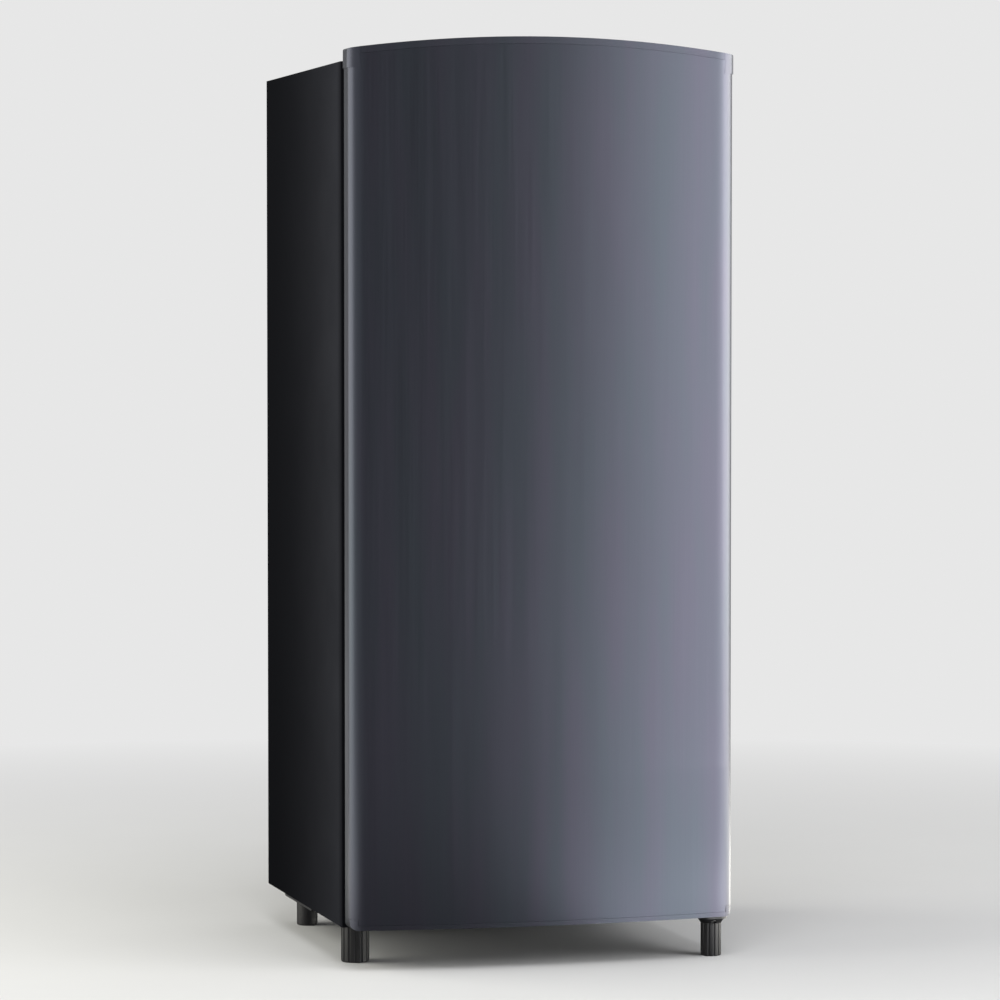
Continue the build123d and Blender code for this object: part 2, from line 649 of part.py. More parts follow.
def evaporator_hangers():
    """Four blocks that hang the freezer box from the liner's ceiling."""
    return Compound(
        children=[
            block(
                (x - HANGER_WIDTH / 2, x + HANGER_WIDTH / 2),
                (y, y + HANGER_LENGTH),
                (EVAPORATOR_TOP, CAVITY_CEILING),
            )
            for x in (-HANGER_SPREAD, HANGER_SPREAD)
            for y in (EVAPORATOR_FRONT + HANGER_LENGTH, EVAPORATOR_REAR - 2 * HANGER_LENGTH)
        ]
    )


def freezer_frame():
    """Plastic frame round the front of the freezer box, with the sockets of the flap's pins."""
    half = EVAPORATOR_HALF_WIDTH - FREEZER_OPENING_INSET
    length = (EVAPORATOR_FRONT - FREEZER_FRAME_DEPTH, EVAPORATOR_FRONT)
    low = EVAPORATOR_BOTTOM - TRAY_DROP + FREEZER_SLOT
    frame = block(span(FREEZER_FRAME_HALF_WIDTH), length, (low, CAVITY_CEILING - FIT))
    frame = fillet(frame.edges().filter_by(Axis.Y).group_by(Axis.Z)[0], FREEZER_SLOT)
    frame = fillet(frame.edges().filter_by(Axis.Y).group_by(Axis.Z)[-1], CAVITY_CORNER_RADIUS)
    opening = block(
        span(half), (length[0] - CUT, length[1] + CUT), (FLAP_LOW - FLAP_GAP, FLAP_HIGH + FLAP_GAP)
    )
    sockets = bar_x(span(half + FLAP_PIN_LENGTH), FLAP_Y, FLAP_PIN_Z, FLAP_PIN_RADIUS + SHAFT_CLEARANCE)
    return frame - opening - sockets


def freezer_flap():
    """Flap that hangs from two pins at its top and swings out at the bottom."""
    half = EVAPORATOR_HALF_WIDTH - FREEZER_OPENING_INSET - FLAP_GAP
    depth = (FLAP_Y - FLAP_THICKNESS / 2, FLAP_Y + FLAP_THICKNESS / 2)
    flap = block(span(half), depth, (FLAP_LOW, FLAP_HIGH))
    flap = fillet(flap.edges().filter_by(Axis.X).group_by(Axis.Z)[-1], FLAP_THICKNESS / 2 - FIT)
    scoop_z = FLAP_LOW + FLAP_SCOOP_RISE
    scoop = bar_x(span(FLAP_SCOOP_HALF), FLAP_Y - FLAP_THICKNESS, scoop_z, FLAP_SCOOP_RADIUS)
    pins = bar_x(span(half + FLAP_GAP + FLAP_PIN_LENGTH - SLIDE_GAP), FLAP_Y, FLAP_PIN_Z, FLAP_PIN_RADIUS)
    return flap - scoop + pins


def chiller_tray():
    """Tray under the freezer box, hung by its side rims on the liner's ledges."""
    length = (TRAY_FRONT, CAVITY_REAR - TRAY_BACK_GAP)
    outer = block(span(TRAY_HALF_WIDTH), length, (TRAY_BOTTOM, TRAY_TOP))
    outer = fillet(outer.edges().filter_by(Axis.Z) + outer.edges().group_by(Axis.Z)[0], TRAY_RADIUS)
    inner = block(
        span(TRAY_HALF_WIDTH - TRAY_WALL),
        (length[0] + TRAY_WALL, length[1] - TRAY_WALL),
        (TRAY_BOTTOM + TRAY_WALL, TRAY_TOP + TRAY_WALL),
    )
    edges = inner.edges().filter_by(Axis.Z) + inner.edges().group_by(Axis.Z)[0]
    inner = fillet(edges, TRAY_RADIUS - TRAY_WALL)
    rims = block(
        span(TRAY_HALF_WIDTH + TRAY_RIM),
        (length[0] + TRAY_RADIUS, length[1] - TRAY_RADIUS),
        (TRAY_TOP - TRAY_WALL, TRAY_TOP),
    )
    return outer + rims - inner


def crisper_drawer():
    """Open-topped vegetable drawer with a finger scoop in its front wall."""
    half = CAVITY_HALF - CRISPER_SIDE_GAP
    length = (SHELF_FRONT, STEP_FRONT - CRISPER_BACK_GAP)
    low = CAVITY_FLOOR + SLIDE_GAP
    outer = block(span(half), length, (low, low + CRISPER_HEIGHT))
    outer = fillet(outer.edges().filter_by(Axis.Z) + outer.edges().group_by(Axis.Z)[0], CRISPER_RADIUS)
    inner = block(
        span(half - CRISPER_WALL),
        (length[0] + CRISPER_WALL, length[1] - CRISPER_WALL),
        (low + CRISPER_WALL, low + CRISPER_HEIGHT + CRISPER_WALL),
    )
    edges = inner.edges().filter_by(Axis.Z) + inner.edges().group_by(Axis.Z)[0]
    inner = fillet(edges, CRISPER_RADIUS - CRISPER_WALL)
    scoop = block(
        span(CRISPER_SCOOP_HALF),
        (length[0] - CRISPER_WALL, length[0] + 2 * CRISPER_WALL),
        (low + CRISPER_HEIGHT - CRISPER_SCOOP, low + CRISPER_HEIGHT + CRISPER_WALL),
    )
    scoop = fillet(scoop.edges().filter_by(Axis.Y).group_by(Axis.Z)[0], CRISPER_RADIUS)
    return outer - inner - scoop


def glass_plate(level, rear):
    """Glass plate with rounded rear corners, resting on the ledges at a level."""
    plate = block(span(SHELF_HALF), (SHELF_FRONT, rear), (level, level + SHELF_GLASS))
    return fillet(plate.edges().filter_by(Axis.Z).group_by(Axis.Y)[-1], SHELF_CORNER)


def trim_bar(level, length, glass):
    """Plastic edge that grips a glass plate from above and below."""
    bar = block(span(SHELF_HALF), length, (level - TRIM_LIP, level + SHELF_GLASS + TRIM_LIP))
    return fillet(bar.edges().filter_by(Axis.X), TRIM_EDGE) - glass


def shelf_trims():
    """Front edge of every glass plate and rear edge of the two shelves."""
    bars = []
    for level in (SHELF_UPPER, SHELF_LOWER, CRISPER_COVER):
        slot = block(
            span(CABINET_WIDTH),
            (SHELF_FRONT - FIT, CAVITY_REAR - SHELF_BACK_GAP + FIT),
            (level - FIT, level + SHELF_GLASS + FIT),
        )
        front = (SHELF_FRONT - TRIM_LIP, SHELF_FRONT - TRIM_LIP + TRIM_DEPTH)
        bars.append(trim_bar(level, front, slot))
        if level != CRISPER_COVER:
            rear = (CAVITY_REAR - TRIM_DEPTH, CAVITY_REAR - SLIDE_GAP)
            bar = trim_bar(level, rear, slot)
            corner = block(
                (SHELF_HALF - SHELF_CORNER, CABINET_WIDTH),
                (rear[0] - TRIM_DEPTH, CAVITY_REAR),
                (level - 2 * TRIM_LIP, Z_TOP),
            )
            bars.append(bar - corner - mirror(corner, about=Plane.YZ))
    return Compound(children=bars)


# Controls

def control_housing():
    """Housing on the right hand wall for the thermostat and the lamp, open towards the wall."""
    y, z = (CONTROL_FRONT, CONTROL_FRONT + CONTROL_LENGTH), (CONTROL_BOTTOM, CONTROL_BOTTOM + CONTROL_HEIGHT)
    case = block((CONTROL_FACE, CAVITY_HALF), y, z)
    case = fillet(case.edges().group_by(Axis.X)[0], CONTROL_EDGE)
    hollow = block(
        (CONTROL_FACE + CONTROL_WALL, CAVITY_HALF + CUT),
        (y[0] + CONTROL_WALL, y[1] - CONTROL_WALL),
        (z[0] + CONTROL_WALL, z[1] - CONTROL_WALL),
    )
    bore = KNOB_SHAFT_RADIUS + SHAFT_CLEARANCE
    shaft = bar_x((CONTROL_FACE - CUT, CAVITY_HALF), KNOB_Y, CONTROL_MIDDLE, bore)
    return case - hollow - shaft - lamp_window(0)


def lamp_window(inset):
    """Window in the control housing's face."""
    return block(
        (CONTROL_FACE - CUT, CONTROL_FACE + CONTROL_WALL + CUT),
        (LAMP_Y - LAMP_WINDOW_HALF + inset, LAMP_Y + LAMP_WINDOW_HALF - inset),
        (CONTROL_MIDDLE - LAMP_WINDOW_HALF + inset, CONTROL_MIDDLE + LAMP_WINDOW_HALF - inset),
    )


def lamp_cover():
    """Clear cover that clips into the window."""
    half = LAMP_WINDOW_HALF + LAMP_COVER_LIP
    face = block(
        (CONTROL_FACE - LAMP_COVER_SHEET, CONTROL_FACE),
        (LAMP_Y - half, LAMP_Y + half),
        (CONTROL_MIDDLE - half, CONTROL_MIDDLE + half),
    )
    face = fillet(face.edges().filter_by(Axis.X), LAMP_COVER_LIP)
    depth = (CONTROL_FACE - SEAM, CONTROL_FACE + CONTROL_WALL)
    return face + (lamp_window(SEAM) & block(depth, (Y_FRONT, Y_REAR), (0, Z_TOP)))


def lamp():
    """Small bulb standing in its socket."""
    x = CONTROL_FACE + CONTROL_DEPTH / 2 + CONTROL_WALL / 2
    bulb = Pos(x, LAMP_Y, CONTROL_MIDDLE) * Sphere(BULB_RADIUS)
    socket = post(x, LAMP_Y, (CONTROL_BOTTOM + CONTROL_WALL, CONTROL_MIDDLE - BULB_RADIUS / 2), SOCKET_RADIUS)
    return bulb + socket


def thermostat():
    """Sealed thermostat block behind the knob, bored for the knob's shaft."""
    case = block(
        (CONTROL_FACE + CONTROL_WALL, CAVITY_HALF),
        (KNOB_Y - THERMOSTAT_HALF, KNOB_Y + THERMOSTAT_HALF),
        (CONTROL_MIDDLE - THERMOSTAT_HALF, CONTROL_MIDDLE + THERMOSTAT_HALF),
    )
    bore = KNOB_SHAFT_RADIUS + SHAFT_CLEARANCE
    return case - bar_x((CONTROL_FACE, SHAFT_END + SLIDE_GAP), KNOB_Y, CONTROL_MIDDLE, bore)


def thermostat_knob():
    """Fluted knob on its shaft, with a pointer rib across its face."""
    face = CONTROL_FACE - SLIDE_GAP
    knob = bar_x((face - KNOB_HEIGHT, face), KNOB_Y, CONTROL_MIDDLE, KNOB_RADIUS)
    knob = fillet(knob.edges().group_by(Axis.X)[0], KNOB_EDGE)
    for turn in range(KNOB_FLUTES):
        angle = 2 * math.pi * turn / KNOB_FLUTES
        y = KNOB_Y + (KNOB_RADIUS + FLUTE_PROUD) * math.cos(angle)
        z = CONTROL_MIDDLE + (KNOB_RADIUS + FLUTE_PROUD) * math.sin(angle)
        knob -= bar_x((face - 2 * KNOB_HEIGHT, face - KNOB_SKIRT), y, z, FLUTE_RADIUS)
    pointer = block(
        (face - KNOB_HEIGHT - KNOB_POINTER, face - KNOB_HEIGHT + KNOB_POINTER),
        (KNOB_Y - KNOB_POINTER, KNOB_Y + KNOB_POINTER),
        (CONTROL_MIDDLE, CONTROL_MIDDLE + KNOB_RADIUS - KNOB_EDGE),
    )
    shaft = bar_x((face - KNOB_EDGE, SHAFT_END), KNOB_Y, CONTROL_MIDDLE, KNOB_SHAFT_RADIUS)
    return knob + pointer + shaft


def switch_barrel(clearance):
    """Room for the door switch's plunger in the liner's front lip."""
    return bar_y(SWITCH_X, (Y_FRONT - CUT, SWITCH_END + SLIDE_GAP), SWITCH_Z, SWITCH_RADIUS + clearance)


def switch_plunger():
    """Plunger that the closed door holds in."""
    pin = bar_y(SWITCH_X, (DOOR_REAR + SOFT_GAP, SWITCH_END), SWITCH_Z, SWITCH_RADIUS)
    return fillet(pin.edges().group_by(Axis.Y)[0], SWITCH_RADIUS / 2)


# Refrigeration

def compressor_envelope(wall, grow):
    """Rounded oval drum of the compressor, shrunk by a wall or grown by a gap."""
    change = grow - wall
    low = COMPRESSOR_BASE + wall
    oval = Ellipse(COMPRESSOR_HALF_LENGTH + change, COMPRESSOR_HALF_WIDTH + change)
    drum = Pos(COMPRESSOR_X, COMPRESSOR_Y, low) * extrude(oval, COMPRESSOR_HEIGHT - 2 * wall)
    return fillet(drum.edges(), COMPRESSOR_RADIUS - wall)


def compressor_seam(grow):
    """Welded seam round the middle of the compressor, grown by a gap."""
    proud = COMPRESSOR_WALL + grow
    low = COMPRESSOR_BASE + COMPRESSOR_HEIGHT / 2 - grow
    oval = Ellipse(COMPRESSOR_HALF_LENGTH + proud, COMPRESSOR_HALF_WIDTH + proud)
    return Pos(COMPRESSOR_X, COMPRESSOR_Y, low) * extrude(oval, proud + grow)


def compressor_shell():
    """Welded steel shell with its seam, foot plate, inner pegs and pipe stubs."""
    half_x, half_y = COMPRESSOR_FOOT_SPACING_X / 2, COMPRESSOR_FOOT_SPACING_Y / 2
    foot = block(
        (COMPRESSOR_X - half_x - FOOT_PLATE_EDGE, COMPRESSOR_X + half_x + FOOT_PLATE_EDGE),
        (COMPRESSOR_Y - half_y - FOOT_PLATE_EDGE, COMPRESSOR_Y + half_y + FOOT_PLATE_EDGE),
        (COMPRESSOR_BASE, COMPRESSOR_BASE + COMPRESSOR_WALL),
    )
    foot = fillet(foot.edges().filter_by(Axis.Z), FOOT_PLATE_EDGE - CUT)
    stub_x = COMPRESSOR_X + COMPRESSOR_HALF_LENGTH
    stubs = [
        bar_x((stub_x - STUB_LENGTH, stub_x + STUB_PROUD), SUCTION_STUB_Y, SUCTION_STUB_Z, STUB_RADIUS),
        bar_x((stub_x - STUB_LENGTH, stub_x + STUB_PROUD), DISCHARGE_STUB_Y, DISCHARGE_STUB_Z, STUB_RADIUS),
    ]
    shell = compressor_envelope(0, 0) + compressor_seam(0) + foot + stubs
    shell -= compressor_envelope(COMPRESSOR_WALL, 0)
    floor = COMPRESSOR_BASE + COMPRESSOR_WALL
    pegs = [
        post(COMPRESSOR_X + x, COMPRESSOR_Y + y, (floor - CUT, floor + PEG_HEIGHT), PEG_RADIUS)
        for x in span(PEG_SPREAD_X)
        for y in span(PEG_SPREAD_Y)
    ]
    holes = [post(x, y, (0, NICHE_TOP), GROMMET_RADIUS - GROMMET_LIP + FIT) for x, y in compressor_feet()]
    return shell + pegs - holes


def compressor_motor():
    """Motor with the pump on top, standing on the shell's inner pegs."""
    low = COMPRESSOR_BASE + COMPRESSOR_WALL + PEG_HEIGHT
    stator = block(
        (COMPRESSOR_X - MOTOR_HALF, COMPRESSOR_X + MOTOR_HALF),
        (COMPRESSOR_Y - MOTOR_HALF, COMPRESSOR_Y + MOTOR_HALF),
        (low, low + MOTOR_HEIGHT),
    )
    length = (COMPRESSOR_X - MOTOR_HALF, COMPRESSOR_X + MOTOR_HALF)
    pump = bar_x(length, COMPRESSOR_Y, low + MOTOR_HEIGHT, PUMP_RADIUS)
    return fillet(stator.edges().filter_by(Axis.Z), MOTOR_HALF / 2) + pump


def compressor_feet():
    """Centres of the compressor's four mounting holes."""
    half_x, half_y = COMPRESSOR_FOOT_SPACING_X / 2, COMPRESSOR_FOOT_SPACING_Y / 2
    return [(COMPRESSOR_X + x, COMPRESSOR_Y + y) for x in span(half_x) for y in span(half_y)]


def compressor_grommets():
    """Rubber grommet round each mounting hole."""
    low, lip = CARRIER_TOP, COMPRESSOR_BASE + COMPRESSOR_WALL
    grommets = []
    for x, y in compressor_feet():
        grommet = post(x, y, (low, COMPRESSOR_BASE), GROMMET_RADIUS)
        grommet += post(x, y, (COMPRESSOR_BASE, lip), GROMMET_RADIUS - GROMMET_LIP)
        grommet += post(x, y, (lip, lip + GROMMET_LIP), GROMMET_RADIUS)
        grommets.append(grommet - post(x, y, (low, lip + GROMMET_LIP), BOLT_RADIUS + FIT))
    return Compound(children=grommets)


def compressor_bolts():
    """Bolt up through each grommet, with its washer and nut on top."""
    top = COMPRESSOR_BASE + COMPRESSOR_WALL + GROMMET_LIP
    bolts = []
    for x, y in compressor_feet():
        bolt = post(x, y, (CARRIER_HEIGHT - BOLT_HEAD, top + BOLT_THREAD), BOLT_RADIUS)
        bolt += post(x, y, (CARRIER_HEIGHT - BOLT_HEAD, CARRIER_HEIGHT), NUT_RADIUS)
        bolt += post(x, y, (top, top + BOLT_WASHER), WASHER_RADIUS)
        nut = Pos(x, y, top + BOLT_WASHER) * extrude(RegularPolygon(NUT_RADIUS, NUT_SIDES), NUT_RADIUS)
        bolts.append(bolt + nut)
    return Compound(children=bolts)


def relay_box():
    """Terminal box on the compressor's left end, bored for the cord's gland."""
    x = (RELAY_LEFT, RELAY_LEFT + RELAY_LENGTH)
    y, z = (RELAY_REAR - RELAY_WIDTH, RELAY_REAR), (RELAY_BOTTOM, RELAY_BOTTOM + RELAY_HEIGHT)
    case = fillet(block(x, y, z).edges().group_by(Axis.X)[0], RELAY_WALL)
    hollow = block(
        (x[0] + RELAY_WALL, x[1] + CUT),
        (y[0] + RELAY_WALL, y[1] - RELAY_WALL),
        (z[0] + RELAY_WALL, z[1] - RELAY_WALL),
    )
    hole = bar_y(GLAND_X, (y[1] - 2 * RELAY_WALL, y[1] + CUT), GLAND_Z, GLAND_BODY + FIT)
    return case - hollow - hole - compressor_envelope(0, FIT) - compressor_seam(FIT)


def cord_gland():
    """Bush that the mains cord passes through, empty here."""
    body = bar_y(GLAND_X, (RELAY_REAR - GLAND_LENGTH / 2, RELAY_REAR), GLAND_Z, GLAND_BODY)
    flange = bar_y(GLAND_X, (RELAY_REAR, RELAY_REAR + GLAND_LENGTH / 2), GLAND_Z, GLAND_RADIUS)
    flange = chamfer(flange.edges().group_by(Axis.Y)[-1], GLAND_CHAMFER)
    return body + flange - bar_y(GLAND_X, (Y_FRONT, Y_REAR + NICHE_DEPTH), GLAND_Z, GLAND_BORE)


def water_tray():
    """Tray on the compressor where defrost water evaporates."""
    low = COMPRESSOR_BASE + COMPRESSOR_HEIGHT
    outer = block(
        (COMPRESSOR_X - WATER_TRAY_HALF_LENGTH, COMPRESSOR_X + WATER_TRAY_HALF_LENGTH),
        (COMPRESSOR_Y - WATER_TRAY_HALF_WIDTH, COMPRESSOR_Y + WATER_TRAY_HALF_WIDTH),
        (low, low + WATER_TRAY_HEIGHT),
    )
    half_length = WATER_TRAY_HALF_LENGTH - TRAY_WALL
    half_width = WATER_TRAY_HALF_WIDTH - TRAY_WALL
    inner = block(
        (COMPRESSOR_X - half_length, COMPRESSOR_X + half_length),
        (COMPRESSOR_Y - half_width, COMPRESSOR_Y + half_width),
        (low + TRAY_WALL, low + WATER_TRAY_HEIGHT + TRAY_WALL),
    )
    outer = fillet(outer.edges().filter_by(Axis.Z), TRAY_RADIUS)
    return outer - fillet(inner.edges().filter_by(Axis.Z), TRAY_RADIUS - TRAY_WALL)


def drain_path(grow):
    """Room for the drain tube, from the liner's step down into the compressor compartment."""
    return post(DRAIN_X, DRAIN_Y, (NICHE_TOP - DRAIN_DROP, STEP_TOP + FIT), DRAIN_RADIUS + grow)


def drain_tube():
    """Tube that leads defrost water to the tray on the compressor."""
    length = (NICHE_TOP - DRAIN_DROP, STEP_TOP)
    tube = post(DRAIN_X, DRAIN_Y, length, DRAIN_RADIUS)
    return tube - post(DRAIN_X, DRAIN_Y, length, DRAIN_RADIUS - DRAIN_WALL)


def suction_path(grow):
    """Suction pipe from the freezer box, down inside the back wall, to the compressor."""
    points = [
        (SUCTION_X, EVAPORATOR_REAR, SUCTION_Z),
        (SUCTION_X, Y_REAR - REAR_WALL / 2, SUCTION_Z),
        (SUCTION_X, Y_REAR - REAR_WALL / 2, SUCTION_STUB_Z),
        (SUCTION_X, SUCTION_STUB_Y, SUCTION_STUB_Z),
        (STUB_END, SUCTION_STUB_Y, SUCTION_STUB_Z),
    ]
    return pipe(points, PIPE_RADIUS + grow, PIPE_BEND)


def discharge_line():
    """Hot pipe from the compressor, up the back, to the top of the condenser."""
    points = [
        (STUB_END, DISCHARGE_STUB_Y, DISCHARGE_STUB_Z),
        (RISER_X, DISCHARGE_STUB_Y, DISCHARGE_STUB_Z),
        (RISER_X, CONDENSER_Y, DISCHARGE_STUB_Z),
        (RISER_X, CONDENSER_Y, CONDENSER_TOP),
        (CONDENSER_HALF_RUN, CONDENSER_Y, CONDENSER_TOP),
    ]
    return pipe(points, CONDENSER_TUBE_RADIUS, PIPE_BEND)


def condenser_tube():
    """Serpentine tube of level runs joined by half turns."""
    pieces = []
    for run in range(CONDENSER_RUNS):
        z = CONDENSER_TOP - run * CONDENSER_PITCH
        side = -1 if run % 2 == 0 else 1
        start, end = (-side * CONDENSER_HALF_RUN, CONDENSER_Y, z), (side * CONDENSER_HALF_RUN, CONDENSER_Y, z)
        pieces.append(Line(start, end))
        if run < CONDENSER_RUNS - 1:
            middle = (side * (CONDENSER_HALF_RUN + CONDENSER_PITCH / 2), CONDENSER_Y, z - CONDENSER_PITCH / 2)
            pieces.append(ThreePointArc(end, middle, (end[0], CONDENSER_Y, z - CONDENSER_PITCH)))
    path = Wire(pieces)
    section = Plane(origin=path @ 0, z_dir=path % 0) * Circle(CONDENSER_TUBE_RADIUS)
    return sweep(section, path=path)


def condenser_wires():
    """Upright wires on both faces of the serpentine."""
    offset = CONDENSER_TUBE_RADIUS + CONDENSER_WIRE_RADIUS + WIRE_GAP
    count = int(CONDENSER_WIRE_HALF_SPAN / CONDENSER_WIRE_PITCH + TOUCH)
    length = (CONDENSER_BOTTOM - CONDENSER_WIRE_PITCH, CONDENSER_TOP + CONDENSER_WIRE_PITCH)
    return Compound(
        children=[
            post(place * CONDENSER_WIRE_PITCH, CONDENSER_Y + side * offset, length, CONDENSER_WIRE_RADIUS)
            for side in (-1, 1)
            for place in range(-count, count + 1)
        ]
    )


def condenser_brackets():
    """Clips that hold the serpentine off the back panel."""
    brackets = []
    x = (CONDENSER_WIRE_HALF_SPAN + CONDENSER_HALF_RUN) / 2
    for run in (1, CONDENSER_RUNS - 2):
        z = CONDENSER_TOP - run * CONDENSER_PITCH
        clip = block(
            (x - BRACKET_HALF / 2, x + BRACKET_HALF / 2),
            (Y_REAR - SHEET, CONDENSER_Y + CONDENSER_TUBE_RADIUS + CONDENSER_WIRE_RADIUS),
            (z - BRACKET_HALF, z + BRACKET_HALF),
        )
        clip -= bar_x((x - BRACKET_HALF, x + BRACKET_HALF), CONDENSER_Y, z, CONDENSER_TUBE_RADIUS + FIT)
        brackets += [clip, mirror(clip, about=Plane.YZ)]
    return Compound(children=brackets)


def filter_drier():
    """Drier with the pipe from the condenser above it and its capillary below."""
    inlet = pipe(
        [
            (-CONDENSER_HALF_RUN, CONDENSER_Y, CONDENSER_BOTTOM),
            (-RISER_X, CONDENSER_Y, CONDENSER_BOTTOM),
            (-RISER_X, CONDENSER_Y, DRIER_TOP + 2 * PIPE_BEND),
            (-RISER_X, DRIER_Y, DRIER_TOP + 2 * PIPE_BEND),
            (-RISER_X, DRIER_Y, DRIER_TOP - CUT),
        ],
        CONDENSER_TUBE_RADIUS,
        PIPE_BEND,
    )
    can = post(-RISER_X, DRIER_Y, (DRIER_TOP - DRIER_LENGTH, DRIER_TOP), DRIER_RADIUS)
    can = fillet(can.edges(), DRIER_RADIUS / 2)
    low = DRIER_TOP - DRIER_LENGTH
    capillary = pipe(
        [
            (-RISER_X, DRIER_Y, low + CUT),
            (-RISER_X, DRIER_Y, low - PIPE_BEND),
            (-RISER_X + CAPILLARY_REACH, DRIER_Y, low - PIPE_BEND),
            (-RISER_X + CAPILLARY_REACH, DRIER_Y, NICHE_TOP),
        ],
        CAPILLARY_RADIUS,
        PIPE_BEND / 2,
    )
    return inlet + can + capillary


def compressor_carrier():
    """Pressed plate that carries the compressor and the rear feet, hung under the side rails."""
    inner = HALF_WIDTH - CARRIER_INSET
    length = (NICHE_FRONT + SEAM, Y_REAR - SHEET - SEAM)
    plate = block(span(inner), length, (CARRIER_HEIGHT, CARRIER_TOP))
    for side in (-1, 1):
        wall = sorted((side * (inner - CARRIER_SHEET), side * inner))
        lip = sorted((side * (inner - CARRIER_SHEET), side * (HALF_WIDTH - CARRIER_FLANGE_INSET)))
        plate += block(wall, length, (CARRIER_HEIGHT, Z_BOTTOM))
        plate += block(lip, length, (Z_BOTTOM - CARRIER_SHEET, Z_BOTTOM))
    holes = [post(x, y, (0, Z_TOP), BOLT_RADIUS + FIT) for x, y in compressor_feet()]
    for x, y in carrier_screws():
        holes += [post(side * x, y, (0, Z_TOP), SCREW_RADIUS + FIT) for side in (-1, 1)]
    return plate - holes


# Feet

def fluted_knob(x, y, height, radius, flutes):
    """Moulded foot with upright flutes, hollow for its stud and threaded insert."""
    knob = post(x, y, (0, height), radius)
    knob = fillet(knob.edges().group_by(Axis.Z)[0], FOOT_EDGE)
    for turn in range(flutes):
        angle = 2 * math.pi * turn / flutes
        reach = radius + FLUTE_PROUD
        flute_x, flute_y = x + reach * math.cos(angle), y + reach * math.sin(angle)
        knob -= post(flute_x, flute_y, (-CUT, height + CUT), FLUTE_RADIUS)
    knob -= post(x, y, (STUD_BOTTOM - FOOT_GAP, height + CUT), STUD_RADIUS + SLIDE_GAP)
    return knob - post(x, y, (INSERT_BOTTOM, INSERT_BOTTOM + INSERT_HEIGHT), INSERT_RADIUS + SHAFT_CLEARANCE)


def foot_insert(x, y):
    """Threaded insert that climbs the stud inside a screw foot."""
    length = (INSERT_BOTTOM + SEAM / 2, INSERT_BOTTOM + INSERT_HEIGHT - SEAM / 2)
    return post(x, y, length, INSERT_RADIUS) - post(x, y, length, STUD_RADIUS + PIN_CLEARANCE)


def rear_feet():
    """Plain feet under the compressor carrier."""
    x, y = HALF_WIDTH - REAR_FOOT_INSET, Y_REAR - REAR_FOOT_FROM_REAR
    foot = post(x, y, (0, CARRIER_HEIGHT), REAR_FOOT_RADIUS)
    return both_sides(fillet(foot.edges().group_by(Axis.Z)[0], FOOT_EDGE))


# Hinges

def top_hinge_screws():
    """Centres of the top hinge's screws."""
    back = Y_FRONT + HINGE_FOOT_FRONT
    return [
        (HINGE_X - HINGE_FOOT_LEFT + SCREW_MARGIN, back + SCREW_MARGIN),
        (HINGE_X + HINGE_FOOT_RIGHT - SCREW_MARGIN, back + SCREW_MARGIN),
        (HINGE_X + (HINGE_FOOT_RIGHT - HINGE_FOOT_LEFT) / 2, back + HINGE_FOOT_DEPTH - SCREW_MARGIN),
    ]


def lower_hinge_screws():
    """Centres of the lower bracket's screws into the front rail."""
    return [
        (RIGHT_FOOT_X - SCREW_MARGIN, Y_FRONT + 2 * SCREW_MARGIN),
        (RIGHT_FOOT_X + SCREW_MARGIN, Y_FRONT + 2 * SCREW_MARGIN),
        (RIGHT_FOOT_X, Y_FRONT + BRACKET_TAIL - SCREW_MARGIN),
    ]


def carrier_screws():
    """Centres of the right hand screws between the carrier and its side rail."""
    x = HALF_WIDTH - (CARRIER_FLANGE_INSET + CARRIER_INSET) / 2
    return [(x, NICHE_FRONT + CARRIER_SCREW_MARGIN), (x, Y_REAR - CARRIER_SCREW_MARGIN)]


def rear_screws():
    """Places of the right hand screws through the rear flange into the back panel."""
    x = HALF_WIDTH - REAR_FLANGE / 2
    rise = (Z_TOP - NICHE_TOP - 2 * REAR_SCREW_MARGIN) / (REAR_SCREWS - 1)
    return [(x, NICHE_TOP + REAR_SCREW_MARGIN + rise * place) for place in range(REAR_SCREWS)]


def rear_screw_holes():
    """Clearance for the screws of both rear flanges."""
    length = (Y_REAR - SCREW_LENGTH - CUT, Y_REAR + CUT)
    return [bar_y(side * x, length, z, SCREW_RADIUS + FIT) for side in (-1, 1) for x, z in rear_screws()]


def screw(turn):
    """Pan head screw whose head stands on +Z, before it is placed and turned."""
    body = post(0, 0, (-SCREW_LENGTH, SCREW_HEAD / 2), SCREW_RADIUS)
    head = fillet(post(0, 0, (0, SCREW_HEAD), SCREW_HEAD_RADIUS).edges().group_by(Axis.Z)[-1], SCREW_HEAD / 2)
    slot = block(span(SCREW_HEAD_RADIUS), span(SCREW_SLOT / 2), (SCREW_HEAD - SCREW_SLOT, SCREW_HEAD + CUT))
    return Rot(*turn) * (body + head - slot)


def cabinet_screws():
    """Every screw of the fixed cabinet."""
    up, down, back = screw((0, 0, 0)), screw((180, 0, 0)), screw((-90, 0, 0))
    screws = [Pos(x, y, Z_TOP + HINGE_PLATE) * up for x, y in top_hinge_screws()]
    screws += [Pos(x, y, Z_BOTTOM - BRACKET_PLATE) * down for x, y in lower_hinge_screws()]
    for side in (-1, 1):
        screws += [Pos(side * x, y, Z_BOTTOM - CARRIER_SHEET) * down for x, y in carrier_screws()]
        screws += [Pos(side * x, Y_REAR, z) * back for x, z in rear_screws()]
    return Compound(children=screws)


